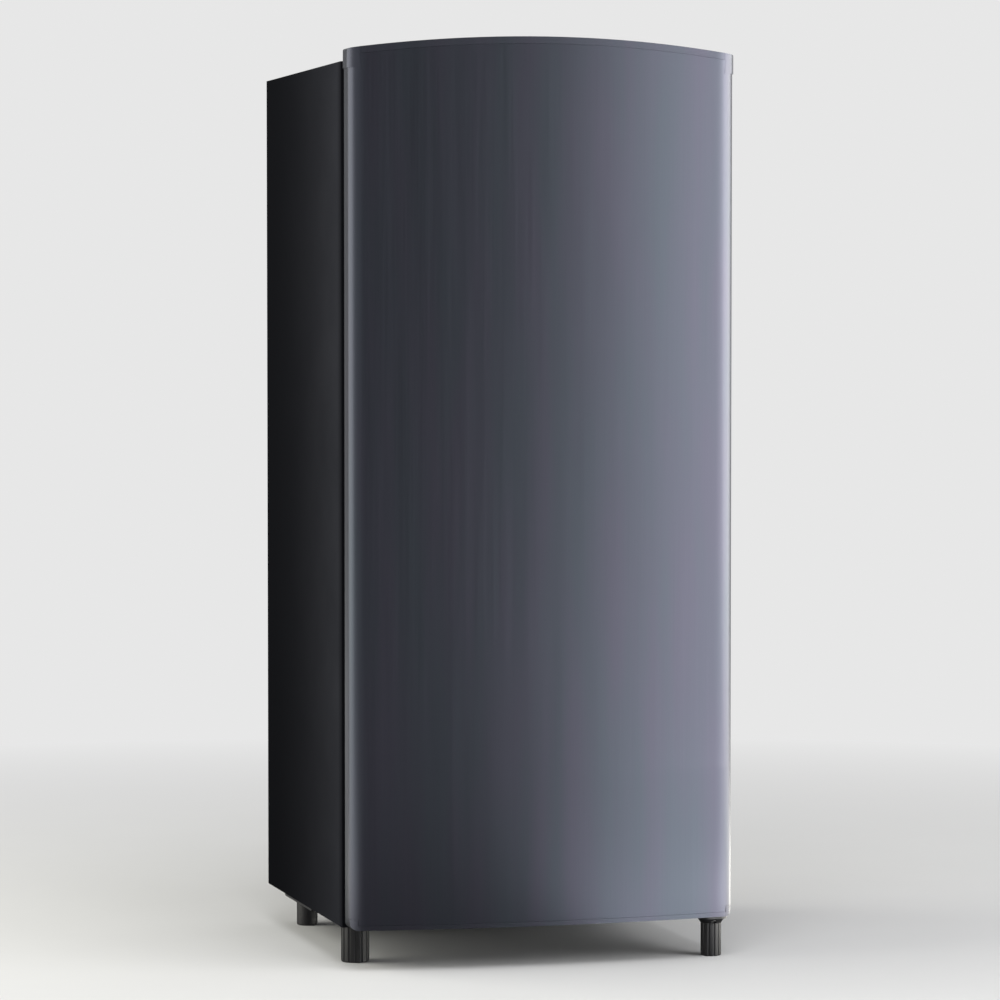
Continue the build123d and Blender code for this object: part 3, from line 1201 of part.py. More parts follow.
def top_hinge():
    """Flat plate screwed on the cabinet's top, with a slanted arm that reaches over the door's pin."""
    foot = block(
        (HINGE_X - HINGE_FOOT_LEFT, HINGE_X + HINGE_FOOT_RIGHT),
        (Y_FRONT + HINGE_FOOT_FRONT, Y_FRONT + HINGE_FOOT_FRONT + HINGE_FOOT_DEPTH),
        (Z_TOP, Z_TOP + HINGE_PLATE),
    )
    foot = fillet(foot.edges().filter_by(Axis.Z), SCREW_HEAD_RADIUS)
    angle = math.radians(HINGE_ARM_ANGLE)
    reach = (HINGE_FORWARD + HINGE_FOOT_FRONT + SCREW_MARGIN) / math.sin(angle)
    arm = Pos(HINGE_X, HINGE_Y, Z_TOP) * Rot(0, 0, HINGE_ARM_ANGLE) * extrude(
        Pos(reach / 2, 0) * SlotCenterToCenter(reach, 2 * HINGE_ARM_HALF_WIDTH), HINGE_PLATE
    )
    through = (Z_TOP - CUT, Z_TOP + 2 * HINGE_PLATE)
    holes = [post(x, y, through, SCREW_RADIUS + FIT) for x, y in top_hinge_screws()]
    pin_hole = post(HINGE_X, HINGE_Y, through, PIN_RADIUS + FIT)
    return foot + arm - holes - pin_hole


def hinge_cover():
    """Plastic cover over the hinge's plate and screws."""
    x = (HINGE_X - HINGE_FOOT_LEFT - COVER_MARGIN, HINGE_X + HINGE_FOOT_RIGHT + COVER_MARGIN)
    front = Y_FRONT + HINGE_FOOT_FRONT
    y = (front - COVER_MARGIN, front + HINGE_FOOT_DEPTH + COVER_MARGIN)
    case = block(x, y, (Z_TOP, Z_TOP + COVER_HEIGHT))
    case = fillet(case.edges().filter_by(Axis.Z) + case.edges().group_by(Axis.Z)[-1], COVER_MARGIN)
    hollow = block(
        (x[0] + COVER_WALL, x[1] - COVER_WALL),
        (y[0] + COVER_WALL, y[1] - COVER_WALL),
        (0, Z_TOP + COVER_HEIGHT - COVER_WALL),
    )
    angle = math.radians(HINGE_ARM_ANGLE)
    cross = HINGE_X + (y[0] - HINGE_Y) * math.cos(angle) / math.sin(angle)
    half = HINGE_ARM_HALF_WIDTH / math.sin(angle) + COVER_WALL
    slot_depth = (y[0] - CUT, y[0] + 2 * COVER_WALL)
    slot = block((cross - half, cross + half), slot_depth, (0, Z_TOP + HINGE_PLATE + SEAM))
    return case - hollow - slot


def lower_hinge():
    """Bracket under the door with a flared collar and the stud of the right hand foot."""
    left, right = RIGHT_FOOT_X - BRACKET_TONGUE / 2, RIGHT_FOOT_X + BRACKET_TONGUE / 2
    plate = block(
        (left, right),
        (HINGE_Y - 2 * PIN_RADIUS, Y_FRONT + BRACKET_TAIL),
        (Z_BOTTOM - BRACKET_PLATE, Z_BOTTOM),
    )
    plate = fillet(plate.edges().filter_by(Axis.Z).group_by(Axis.Y)[0], BRACKET_NOSE)
    low = Z_BOTTOM - BRACKET_PLATE - COLLAR_HEIGHT
    collar = Pos(RIGHT_FOOT_X, RIGHT_FOOT_Y, low + COLLAR_HEIGHT / 2) * Cone(
        COLLAR_FOOT_RADIUS, COLLAR_TOP_RADIUS, COLLAR_HEIGHT
    )
    stud = post(RIGHT_FOOT_X, RIGHT_FOOT_Y, (STUD_BOTTOM, low + CUT), STUD_RADIUS)
    pin_hole = post(HINGE_X, HINGE_Y, (low - CUT, Z_TOP), PIN_RADIUS + FIT)
    holes = [post(x, y, (0, Z_TOP), SCREW_RADIUS + FIT) for x, y in lower_hinge_screws()]
    return plate + collar + stud - pin_hole - holes


def hinge_pins():
    """Headed pin through the top hinge and riveted pin in the lower bracket."""
    plate_top = Z_TOP + HINGE_PLATE
    top = post(HINGE_X, HINGE_Y, (NOTCH_FLOOR - BUSH_LENGTH + PIN_RADIUS, plate_top + CUT), PIN_RADIUS)
    head = post(HINGE_X, HINGE_Y, (plate_top, plate_top + PIN_HEAD), PIN_RADIUS + PIN_HEAD)
    low = Z_BOTTOM - BRACKET_PLATE - COLLAR_HEIGHT / 2
    bottom = post(HINGE_X, HINGE_Y, (low, DOOR_BOTTOM + BUSH_LENGTH - PIN_RADIUS), PIN_RADIUS)
    return Compound(children=[top + fillet(head.edges().group_by(Axis.Z)[-1], PIN_HEAD / 2), bottom])


# Door

def arch_height(x):
    """Height of the door's arched top edge at a distance from its middle."""
    radius = (HALF_WIDTH**2 + DOOR_CROWN**2) / (2 * DOOR_CROWN)
    return DOOR_TOP - radius + math.sqrt(radius**2 - x**2)


def under_arch(drop, low):
    """Everything above a level and below the arched top edge lowered by a drop."""
    half = HALF_WIDTH + DOOR_EDGE
    ends = arch_height(half) - drop
    outline = Polyline((-half, ends), (-half, low), (half, low), (half, ends)) + ThreePointArc(
        (half, ends), (0, DOOR_TOP - drop), (-half, ends)
    )
    depth = DOOR_EDGE + DOOR_BULGE + DOOR_GAP
    return Pos(0, DOOR_REAR, 0) * extrude(Plane.XZ * make_face(outline), depth, both=True)


def door_section(inset):
    """The door's horizontal section, bowed at the front, with rounded upright corners."""
    half, front, rear = HALF_WIDTH - inset, DOOR_FRONT_EDGE + inset, DOOR_REAR - inset
    outline = Polyline((-half, front), (-half, rear), (half, rear), (half, front)) + ThreePointArc(
        (half, front), (0, front - DOOR_BULGE), (-half, front)
    )
    face = make_face(outline)
    face = fillet(face.vertices().group_by(Axis.Y)[-1], DOOR_REAR_RADIUS - inset)
    corners = [vertex for vertex in face.vertices() if abs(vertex.Y - front) < TOUCH]
    return fillet(corners, DOOR_FRONT_RADIUS - inset)


def door_column(inset):
    """The door's section drawn up well past its full height."""
    return extrude(door_section(inset), DOOR_TOP + DOOR_EDGE)


def door_ends(reach, low, high):
    """Slabs that hold only the outermost stretch at both upright edges of the door."""
    width = (HALF_WIDTH - reach, HALF_WIDTH + DOOR_EDGE)
    slab = block(width, (DOOR_FRONT_EDGE - DOOR_BULGE, Y_FRONT), (low, high))
    return slab + mirror(slab, about=Plane.YZ)


def door_skin():
    """Bowed steel skin that wraps round both edges onto the door's back."""
    skin = door_column(0) - door_column(SHEET)
    skin -= block(
        span(HALF_WIDTH - DOOR_RETURN), (DOOR_REAR - DOOR_REAR_RADIUS, Y_FRONT), (0, DOOR_TOP + DOOR_EDGE)
    )
    skin &= under_arch(TOP_CAP_STRIP + CAP_SEAM, DOOR_BOTTOM + BOTTOM_CAP_STRIP + CAP_SEAM)
    low_ends = door_ends(BOTTOM_CORNER_RADIUS + CAP_SEAM, 0, DOOR_BOTTOM + BOTTOM_CAP_EAR + CAP_SEAM)
    return skin - low_ends - notch_room(SEAM)


def rear_flush(low, high):
    """Strip of a cap that fills the door's back between the skin's returns."""
    return block(span(HALF_WIDTH - DOOR_RETURN - SEAM), (DOOR_REAR - CAP_WALL, DOOR_REAR), (low, high))


def grip_room(grow):
    """Finger recess, open to the top and the back of the door, grown by a wall."""
    left = -HALF_WIDTH + GRIP_FROM_FREE_EDGE
    room = block(
        (left - grow, left + GRIP_LENGTH + grow),
        (DOOR_REAR - GRIP_DEPTH - grow, Y_FRONT),
        (GRIP_FLOOR - grow, DOOR_TOP + CUT),
    )
    room = fillet(room.edges().filter_by(Axis.Z).group_by(Axis.Y)[0], DOOR_REAR_RADIUS + grow)
    return fillet(room.edges().group_by(Axis.Z)[0].group_by(Axis.Y)[0], CAP_WALL + grow)


def notch_room(grow):
    """Pocket that clears the hinge's arm while the door swings, grown by a wall."""
    room = block(
        (HINGE_X - NOTCH_LEFT - grow, HALF_WIDTH + DOOR_EDGE),
        (HINGE_Y - NOTCH_WALL_REACH - grow, Y_FRONT),
        (NOTCH_FLOOR - grow, DOOR_TOP + CUT),
    )
    return room + post(HINGE_X, HINGE_Y, (NOTCH_FLOOR - grow, DOOR_TOP + CUT), NOTCH_RADIUS + grow)


def corner_trim():
    """What is cut off both upper corners of the top cap to round them."""
    middle_x = HALF_WIDTH + TOP_CAP_EAR_PROUD - TOP_CAP_CORNER
    middle_z = arch_height(middle_x) - TOP_CAP_CORNER
    depth = (DOOR_FRONT_EDGE - DOOR_BULGE - CUT, Y_FRONT)
    trim = block((middle_x, HALF_WIDTH + DOOR_EDGE), depth, (middle_z, DOOR_TOP))
    trim -= bar_y(middle_x, depth, middle_z, TOP_CAP_CORNER)
    return trim + mirror(trim, about=Plane.YZ)


def door_top_cap():
    """Arched top cap with its ears, finger recess and the pocket for the hinge's arm."""
    edge = under_arch(0, 0) - under_arch(TOP_CAP_STRIP, 0)
    ears = (door_column(-TOP_CAP_EAR_PROUD) - door_column(-SEAM / 2)) & under_arch(0, 0)
    ears &= door_ends(DOOR_FRONT_RADIUS, DOOR_CORNER - TOP_CAP_EAR, DOOR_TOP)
    ears += door_column(-TOP_CAP_EAR_PROUD) & edge & door_ends(DOOR_FRONT_RADIUS, 0, DOOR_TOP)
    plug = door_column(SHEET + SEAM) & under_arch(TOP_CAP_STRIP - CUT, CAP_PLUG_LOW)
    flush = rear_flush(CAP_PLUG_LOW, DOOR_TOP) & under_arch(TOP_CAP_STRIP - CUT, 0)
    cap = (door_column(0) & edge) + ears + plug + flush
    hollow = door_column(SHEET + SEAM + CAP_WALL) & under_arch(CAP_WALL, 0)
    depth = (DOOR_FRONT_EDGE - DOOR_BULGE, DOOR_REAR - 2 * CAP_WALL)
    hollow &= block(span(CABINET_WIDTH), depth, (0, DOOR_TOP))
    hollow = hollow - grip_room(CAP_WALL) - notch_room(CAP_WALL)
    hollow -= post(HINGE_X, HINGE_Y, (0, DOOR_TOP), BUSH_RADIUS + CAP_WALL)
    seat = post(HINGE_X, HINGE_Y, (0, NOTCH_FLOOR), BUSH_RADIUS + FIT)
    return cap - hollow - grip_room(0) - notch_room(0) - seat - corner_trim()


def door_bottom_cap():
    """Bottom cap with rounded lower corners and the boss of the lower bush."""
    strip = door_column(0) & block(
        span(CABINET_WIDTH),
        (DOOR_FRONT_EDGE - DOOR_BULGE - CUT, Y_FRONT),
        (DOOR_BOTTOM, DOOR_BOTTOM + BOTTOM_CAP_STRIP),
    )
    ends = door_column(0) & door_ends(BOTTOM_CORNER_RADIUS, DOOR_BOTTOM, DOOR_BOTTOM + BOTTOM_CAP_EAR)
    plug = door_column(SHEET + SEAM) & block(
        span(CABINET_WIDTH),
        (DOOR_FRONT_EDGE - DOOR_BULGE, Y_FRONT),
        (DOOR_BOTTOM + BOTTOM_CAP_STRIP - CUT, DOOR_BOTTOM + BOTTOM_CAP_PLUG),
    )
    flush = rear_flush(DOOR_BOTTOM + BOTTOM_CAP_STRIP - CUT, DOOR_BOTTOM + BOTTOM_CAP_PLUG)
    rounding = RectangleRounded(CABINET_WIDTH, 4 * BOTTOM_CAP_PLUG, BOTTOM_CORNER_RADIUS)
    rounding = Pos(0, DOOR_BOTTOM + 2 * BOTTOM_CAP_PLUG) * rounding
    rounding = extrude(Plane.XZ * rounding, OVERALL_DEPTH, both=True)
    cap = (strip + ends + plug + flush) & rounding
    hollow = door_column(SHEET + SEAM + CAP_WALL) & block(
        span(CABINET_WIDTH),
        (DOOR_FRONT_EDGE - DOOR_BULGE, DOOR_REAR - 2 * CAP_WALL),
        (DOOR_BOTTOM + BOTTOM_CAP_STRIP, DOOR_BOTTOM + 2 * BOTTOM_CAP_PLUG),
    )
    hollow -= post(HINGE_X, HINGE_Y, (0, DOOR_TOP), BUSH_RADIUS + CAP_WALL)
    return cap - hollow - post(HINGE_X, HINGE_Y, (0, DOOR_TOP), BUSH_RADIUS + FIT)


def door_bushes():
    """Flanged bushes that turn on the hinge pins."""
    top = post(HINGE_X, HINGE_Y, (NOTCH_FLOOR - BUSH_LENGTH, NOTCH_FLOOR), BUSH_RADIUS)
    top += post(HINGE_X, HINGE_Y, (NOTCH_FLOOR, Z_TOP - SLIDE_GAP), BUSH_FLANGE)
    bottom = post(HINGE_X, HINGE_Y, (DOOR_BOTTOM, DOOR_BOTTOM + BUSH_LENGTH), BUSH_RADIUS)
    bottom += post(HINGE_X, HINGE_Y, (Z_BOTTOM + FIT, DOOR_BOTTOM), BUSH_FLANGE)
    bore = post(HINGE_X, HINGE_Y, (0, DOOR_TOP), PIN_RADIUS + PIN_CLEARANCE)
    return Compound(children=[top - bore, bottom - bore])


def rib_solid(grow):
    """One upright rib of the door's liner that the racks hang between, shrunk by a wall."""
    x = (RIB_HALF_SPAN - RIB_WIDTH + grow, RIB_HALF_SPAN - grow)
    y = (DOOR_REAR - LINER_SHEET, DOOR_REAR + RIB_DEPTH - grow)
    return block(x, y, (RIB_LOW + grow, RIB_HIGH - grow))


def door_liner():
    """Liner on the door's back with two ribs and the lugs that carry the racks."""
    plate = block(
        span(HALF_WIDTH - DOOR_RETURN - SEAM),
        (DOOR_REAR - LINER_SHEET, DOOR_REAR),
        (DOOR_BOTTOM + BOTTOM_CAP_PLUG + SEAM, CAP_PLUG_LOW - SEAM),
    )
    rib = rib_solid(0)
    rib = fillet(rib.edges().filter_by(Axis.Z).group_by(Axis.Y)[-1], RIB_WIDTH / 4)
    inner = RIB_HALF_SPAN - RIB_WIDTH
    for level, _, _ in racks():
        rib += block(
            (inner - RACK_LUG, inner + CUT),
            (DOOR_REAR, DOOR_REAR + RIB_DEPTH - RIB_WIDTH / 2),
            (level - RACK_LUG_HEIGHT, level),
        )
    hollow = rib_solid(LINER_SHEET)
    hollow += mirror(hollow, about=Plane.YZ)
    return plate + rib + mirror(rib, about=Plane.YZ) - hollow


def door_foam():
    """Foam between the door's skin, liner and caps, and inside the liner's ribs."""
    core = door_column(SHEET + FIT) & block(
        span(CABINET_WIDTH),
        (DOOR_FRONT_EDGE - DOOR_BULGE, DOOR_REAR - LINER_SHEET - FIT),
        (DOOR_BOTTOM + BOTTOM_CAP_PLUG + FIT, CAP_PLUG_LOW - FIT),
    )
    rib = rib_solid(LINER_SHEET + FIT)
    neck = block(
        (RIB_HALF_SPAN - RIB_WIDTH + LINER_SHEET + FIT, RIB_HALF_SPAN - LINER_SHEET - FIT),
        (DOOR_REAR - LINER_SHEET - CUT, DOOR_REAR),
        (RIB_LOW + LINER_SHEET + FIT, RIB_HIGH - LINER_SHEET - FIT),
    )
    rib += neck
    return core + rib + mirror(rib, about=Plane.YZ)


def door_gasket():
    """Magnetic gasket between the door's liner and the cabinet's front flanges."""
    outer_half = HALF_WIDTH - GASKET_INSET
    high, low = Z_TOP - GASKET_INSET, Z_BOTTOM + GASKET_INSET
    y = (DOOR_REAR + SOFT_GAP, Y_FRONT - SOFT_GAP)
    outer = block(span(outer_half), y, (low, high))
    inner = block(
        span(outer_half - GASKET_WIDTH), (y[0] - CUT, y[1] + CUT), (low + GASKET_WIDTH, high - GASKET_WIDTH)
    )
    outer = fillet(outer.edges().filter_by(Axis.Y), GASKET_WIDTH)
    return outer - fillet(inner.edges().filter_by(Axis.Y), GASKET_WIDTH / 2)


def racks():
    """Level, depth and height of each door rack."""
    return (
        (RACK_UPPER_LEVEL, RACK_UPPER_DEPTH, RACK_UPPER_HEIGHT),
        (RACK_MIDDLE_LEVEL, RACK_MIDDLE_DEPTH, RACK_MIDDLE_HEIGHT),
        (RACK_BOTTLE_LEVEL, RACK_BOTTLE_DEPTH, RACK_BOTTLE_HEIGHT),
    )


def door_rack(level, depth, height):
    """Open-topped rack that stands on the liner's lugs between the ribs."""
    half = RIB_HALF_SPAN - RIB_WIDTH - RACK_SIDE_GAP
    y = (DOOR_REAR + FIT, DOOR_REAR + depth)
    outer = block(span(half), y, (level, level + height))
    outer = fillet(outer.edges().filter_by(Axis.Z).group_by(Axis.Y)[-1], RACK_RADIUS)
    outer = fillet(outer.edges().group_by(Axis.Z)[0].group_by(Axis.Y)[-1], RACK_EDGE)
    inner = block(
        span(half - RACK_WALL),
        (y[0] + RACK_WALL, y[1] - RACK_WALL),
        (level + RACK_WALL, level + height + RACK_WALL),
    )
    inner = fillet(inner.edges().filter_by(Axis.Z).group_by(Axis.Y)[-1], RACK_RADIUS - RACK_WALL)
    return outer - inner


def build_nodes():
    """Every node of the refrigerator by name."""
    glass_rear = CAVITY_REAR - SHELF_BACK_GAP
    left_height = Z_BOTTOM - FOOT_GAP
    right_height = Z_BOTTOM - BRACKET_PLATE - COLLAR_HEIGHT - FOOT_GAP
    right_panel = side_panel()
    return {
        "side_panel_right": right_panel,
        "side_panel_left": mirror(right_panel, about=Plane.YZ),
        "top_panel": top_panel(),
        "back_panel": back_panel(),
        "base_panel": base_panel(),
        "front_rail": front_rail(),
        "side_rails": side_rails(),
        "cabinet_foam": cabinet_foam(),
        "inner_liner": inner_liner(),
        "evaporator": evaporator(),
        "evaporator_hangers": evaporator_hangers(),
        "freezer_frame": freezer_frame(),
        "freezer_flap": freezer_flap(),
        "chiller_tray": chiller_tray(),
        "shelf_upper": glass_plate(SHELF_UPPER, glass_rear),
        "shelf_lower": glass_plate(SHELF_LOWER, glass_rear),
        "crisper_cover": glass_plate(CRISPER_COVER, glass_rear),
        "shelf_trims": shelf_trims(),
        "crisper_drawer": crisper_drawer(),
        "control_housing": control_housing(),
        "thermostat": thermostat(),
        "thermostat_knob": thermostat_knob(),
        "lamp": lamp(),
        "lamp_cover": lamp_cover(),
        "switch_plunger": switch_plunger(),
        "compressor_shell": compressor_shell(),
        "compressor_motor": compressor_motor(),
        "compressor_grommets": compressor_grommets(),
        "compressor_bolts": compressor_bolts(),
        "compressor_carrier": compressor_carrier(),
        "relay_box": relay_box(),
        "cord_gland": cord_gland(),
        "water_tray": water_tray(),
        "drain_tube": drain_tube(),
        "suction_line": suction_path(0),
        "discharge_line": discharge_line(),
        "condenser_tube": condenser_tube(),
        "condenser_wires": condenser_wires(),
        "condenser_brackets": condenser_brackets(),
        "filter_drier": filter_drier(),
        "rear_feet": rear_feet(),
        "left_foot_insert": foot_insert(LEFT_FOOT_X, LEFT_FOOT_Y),
        "left_foot_knob": fluted_knob(
            LEFT_FOOT_X, LEFT_FOOT_Y, left_height, LEFT_FOOT_RADIUS, LEFT_FOOT_FLUTES
        ),
        "right_foot_insert": foot_insert(RIGHT_FOOT_X, RIGHT_FOOT_Y),
        "right_foot_knob": fluted_knob(
            RIGHT_FOOT_X, RIGHT_FOOT_Y, right_height, RIGHT_FOOT_RADIUS, RIGHT_FOOT_FLUTES
        ),
        "top_hinge": top_hinge(),
        "hinge_cover": hinge_cover(),
        "lower_hinge": lower_hinge(),
        "hinge_pins": hinge_pins(),
        "cabinet_screws": cabinet_screws(),
        "door_skin": door_skin(),
        "door_foam": door_foam(),
        "door_liner": door_liner(),
        "door_top_cap": door_top_cap(),
        "door_bottom_cap": door_bottom_cap(),
        "door_bushes": door_bushes(),
        "door_gasket": door_gasket(),
        "door_rack_upper": door_rack(*racks()[0]),
        "door_rack_middle": door_rack(*racks()[1]),
        "door_rack_bottle": door_rack(*racks()[2]),
    }


def main():
    """Write each node to its own file."""
    os.makedirs("parts", exist_ok=True)
    for name, shape in build_nodes().items():
        export_step(shape, f"parts/{name}.step")


main()
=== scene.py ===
"""Looks of a single door refrigerator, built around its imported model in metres."""

import json
import logging
import math
from dataclasses import dataclass, fields
from enum import Enum

import bmesh
import bpy
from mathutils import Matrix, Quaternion, Vector


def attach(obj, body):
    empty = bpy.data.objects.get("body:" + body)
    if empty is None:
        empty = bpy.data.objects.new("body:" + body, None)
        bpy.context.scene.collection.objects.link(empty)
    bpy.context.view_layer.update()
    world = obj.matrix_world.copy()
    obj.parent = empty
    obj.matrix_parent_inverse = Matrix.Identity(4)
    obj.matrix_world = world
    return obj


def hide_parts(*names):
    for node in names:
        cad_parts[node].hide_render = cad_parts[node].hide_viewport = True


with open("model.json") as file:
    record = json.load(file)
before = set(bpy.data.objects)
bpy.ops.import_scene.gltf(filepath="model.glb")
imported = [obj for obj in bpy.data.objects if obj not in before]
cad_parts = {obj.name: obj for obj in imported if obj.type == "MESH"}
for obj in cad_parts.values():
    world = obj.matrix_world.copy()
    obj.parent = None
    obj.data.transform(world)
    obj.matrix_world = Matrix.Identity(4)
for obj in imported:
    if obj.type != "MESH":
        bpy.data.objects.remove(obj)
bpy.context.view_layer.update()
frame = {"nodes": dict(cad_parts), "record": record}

Colour = tuple[float, float, float]
Place = tuple[float, float, float]
Cells = float | tuple[float, float, float]
LOG = logging.getLogger("refrigerator")
MM = 0.001
WHITE = (1.0, 1.0, 1.0)
SIDE_TONE = (1.0, 0.985, 0.88)


# Node trees


class Signal:
    """A number that varies over a surface or a mesh, carried by one output socket."""

    def __init__(self, sheet: "Sheet", socket: bpy.types.NodeSocket) -> None:
        """Wrap one output socket of a node tree."""
        self.sheet = sheet
        self.socket = socket

    def join(self, operation: str, first: object, second: object = 0.0) -> "Signal":
        """Add a Math node.

        Args:
            operation: The Math node's operation.
            first: Number or signal of the first socket.
            second: Number or signal of the second socket.

        Returns:
            The signal that the Math node gives.
        """
        node = self.sheet.add("ShaderNodeMath", {"operation": operation}, {0: first, 1: second})
        return Signal(self.sheet, node.outputs[0])

    def __add__(self, other: object) -> "Signal":
        """Add a number or a signal."""
        return self.join("ADD", self, other)

    __radd__ = __add__

    def __sub__(self, other: object) -> "Signal":
        """Take away a number or a signal."""
        return self.join("SUBTRACT", self, other)

    def __rsub__(self, other: object) -> "Signal":
        """Take this signal away from a number."""
        return self.join("SUBTRACT", other, self)

    def __mul__(self, other: object) -> "Signal":
        """Multiply by a number or a signal."""
        return self.join("MULTIPLY", self, other)

    __rmul__ = __mul__

    def __truediv__(self, other: object) -> "Signal":
        """Divide by a number or a signal."""
        return self.join("DIVIDE", self, other)

    def __rtruediv__(self, other: object) -> "Signal":
        """Divide a number by this signal."""
        return self.join("DIVIDE", other, self)

    def __pow__(self, other: object) -> "Signal":
        """Raise to a power."""
        return self.join("POWER", self, other)

    def __gt__(self, other: object) -> "Signal":
        """One where this signal is the larger, else zero."""
        return self.join("GREATER_THAN", self, other)

    def __abs__(self) -> "Signal":
        """Size of this signal without its sign."""
        return self.join("ABSOLUTE", self)

    def root(self) -> "Signal":
        """Square root."""
        return self.join("SQRT", self)

    def angle(self) -> "Signal":
        """Angle whose sine this is."""
        return self.join("ARCSINE", self)

    def sine(self) -> "Signal":
        """Sine of this angle."""
        return self.join("SINE", self)

    def cosine(self) -> "Signal":
        """Cosine of this angle."""
        return self.join("COSINE", self)


class Sheet:
    """A node tree under construction."""

    def __init__(self, tree: bpy.types.NodeTree) -> None:
        """Start on an empty tree."""
        self.tree = tree
        tree.nodes.clear()

    def add(self, kind: str, settings: dict | None = None, sockets: dict | None = None) -> bpy.types.Node:
        """Add one node.

        Args:
            kind: The node's type.
            settings: Properties to set first; stops fills a colour ramp.
            sockets: Value, signal or output socket for each input, by name or number.

        Returns:
            The new node.
        """
        node = self.tree.nodes.new(kind)
        for key, value in (settings or {}).items():
            if key == "stops":
                self.fill_ramp(node.color_ramp, value)
            else:
                setattr(node, key, value)
        for key, value in (sockets or {}).items():
            self.feed(node.inputs[key], value)
        return node

    def feed(self, target: bpy.types.NodeSocket, value: object) -> None:
        """Link or set one input socket.

        Args:
            target: The input socket.
            value: A signal, an output socket or a plain value.
        """
        if isinstance(value, Signal):
            self.tree.links.new(value.socket, target)
        elif isinstance(value, bpy.types.NodeSocket):
            self.tree.links.new(value, target)
        elif target.type == "RGBA" and len(value) == 3:
            target.default_value = (*value, 1.0)
        else:
            target.default_value = value

    @staticmethod
    def fill_ramp(ramp: bpy.types.ColorRamp, stops: list[tuple[float, float]]) -> None:
        """Set a ramp's grey stops.

        Args:
            ramp: The ramp, which has two stops.
            stops: Place and grey level of each stop.
        """
        for _ in stops[2:]:
            ramp.elements.new(1.0)
        for element, (place, level) in zip(ramp.elements, stops):
            element.position = place
            element.color = (level, level, level, 1.0)

    def signal(self, kind: str, settings: dict, sockets: dict, output: int | str = 0) -> Signal:
        """Add a node and wrap one of its outputs.

        Args:
            kind: The node's type.
            settings: Properties of the node.
            sockets: Inputs of the node.
            output: Name or number of the output.

        Returns:
            The output as a signal.
        """
        return Signal(self, self.add(kind, settings, sockets).outputs[output])


class Shader(Sheet):
    """One material with a Principled surface."""

    def __init__(self, name: str) -> None:
        """Make an empty material.

        Args:
            name: The material's name.
        """
        self.material = bpy.data.materials.new(name)
        self.material.use_nodes = True
        super().__init__(self.material.node_tree)
        place = self.add("ShaderNodeTexCoord")
        self.place = place.outputs["Object"]

    def stretched(self, scale: Cells) -> bpy.types.NodeSocket:
        """The piece's own place, scaled alike or along each axis."""
        scales = (scale,) * 3 if isinstance(scale, float) else scale
        return self.add("ShaderNodeMapping", {}, {"Vector": self.place, "Scale": scales}).outputs[0]

    def noise(self, scale: Cells, detail: float = 2.0, rough: float = 0.5) -> Signal:
        """Smooth noise around one half.

        Args:
            scale: Cells per metre, alike or along each axis.
            detail: Octaves.
            rough: Strength of the finer octaves.

        Returns:
            The noise.
        """
        sockets = {"Vector": self.stretched(scale), "Scale": 1.0, "Detail": detail, "Roughness": rough}
        return self.signal("ShaderNodeTexNoise", {"noise_dimensions": "3D"}, sockets, 0)

    def cells(self, scale: float, output: str = "Color") -> bpy.types.NodeSocket:
        """Cells of a Voronoi pattern.

        Args:
            scale: Cells per metre.
            output: Which of the pattern's outputs.

        Returns:
            The output socket.
        """
        sockets = {"Vector": self.place, "Scale": scale}
        return self.add("ShaderNodeTexVoronoi", {}, sockets).outputs[output]

    def spread(self, signal: Signal, low: float, high: float, start: float = 0.3, end: float = 0.7) -> Signal:
        """Stretch a noise over a range of values.

        Args:
            signal: The noise.
            low: Value at the noise's start.
            high: Value at the noise's end.
            start: Noise that gives the low value.
            end: Noise that gives the high value.

        Returns:
            The stretched signal.
        """
        sockets = {0: signal, 1: start, 2: end, 3: low, 4: high}
        return self.signal("ShaderNodeMapRange", {"clamp": True}, sockets, 0)

    def around(self, signal: Signal, middle: float, swing: float) -> Signal:
        """Stretch a noise to both sides of a value."""
        return self.spread(signal, middle - swing, middle + swing)

    def tint(self, factor: Signal, dark: object, light: object) -> bpy.types.NodeSocket:
        """A colour between two others.

        Args:
            factor: Share of the second colour.
            dark: First colour, or the socket of one.
            light: Second colour, or the socket of one.

        Returns:
            The mixed colour's socket.
        """
        sockets = {0: factor, 6: dark, 7: light}
        return self.add("ShaderNodeMix", {"data_type": "RGBA"}, sockets).outputs[2]

    def axes(self) -> tuple[Signal, Signal, Signal]:
        """The three coordinates of the piece's own place."""
        parts = self.add("ShaderNodeSeparateXYZ", {}, {0: self.place})
        return tuple(Signal(self, output) for output in parts.outputs)

    def bump(self, height: Signal, depth: float, below: bpy.types.NodeSocket | None = None) -> object:
        """Fine relief.

        Args:
            height: Height pattern from 0 to 1.
            depth: Real depth in metres.
            below: Normal of a coarser relief under this one.

        Returns:
            The socket of the new normal.
        """
        sockets = {"Height": height, "Distance": depth, "Strength": 1.0}
        if below is not None:
            sockets["Normal"] = below
        return self.add("ShaderNodeBump", {}, sockets).outputs[0]

    def surface(self, sockets: dict) -> bpy.types.Material:
        """Close the material with its Principled surface.

        Args:
            sockets: Value or link of each socket that isn't left at its default.

        Returns:
            The finished material.
        """
        body = self.add("ShaderNodeBsdfPrincipled", {}, sockets)
        self.add("ShaderNodeOutputMaterial", {}, {"Surface": body.outputs[0]})
        return self.material


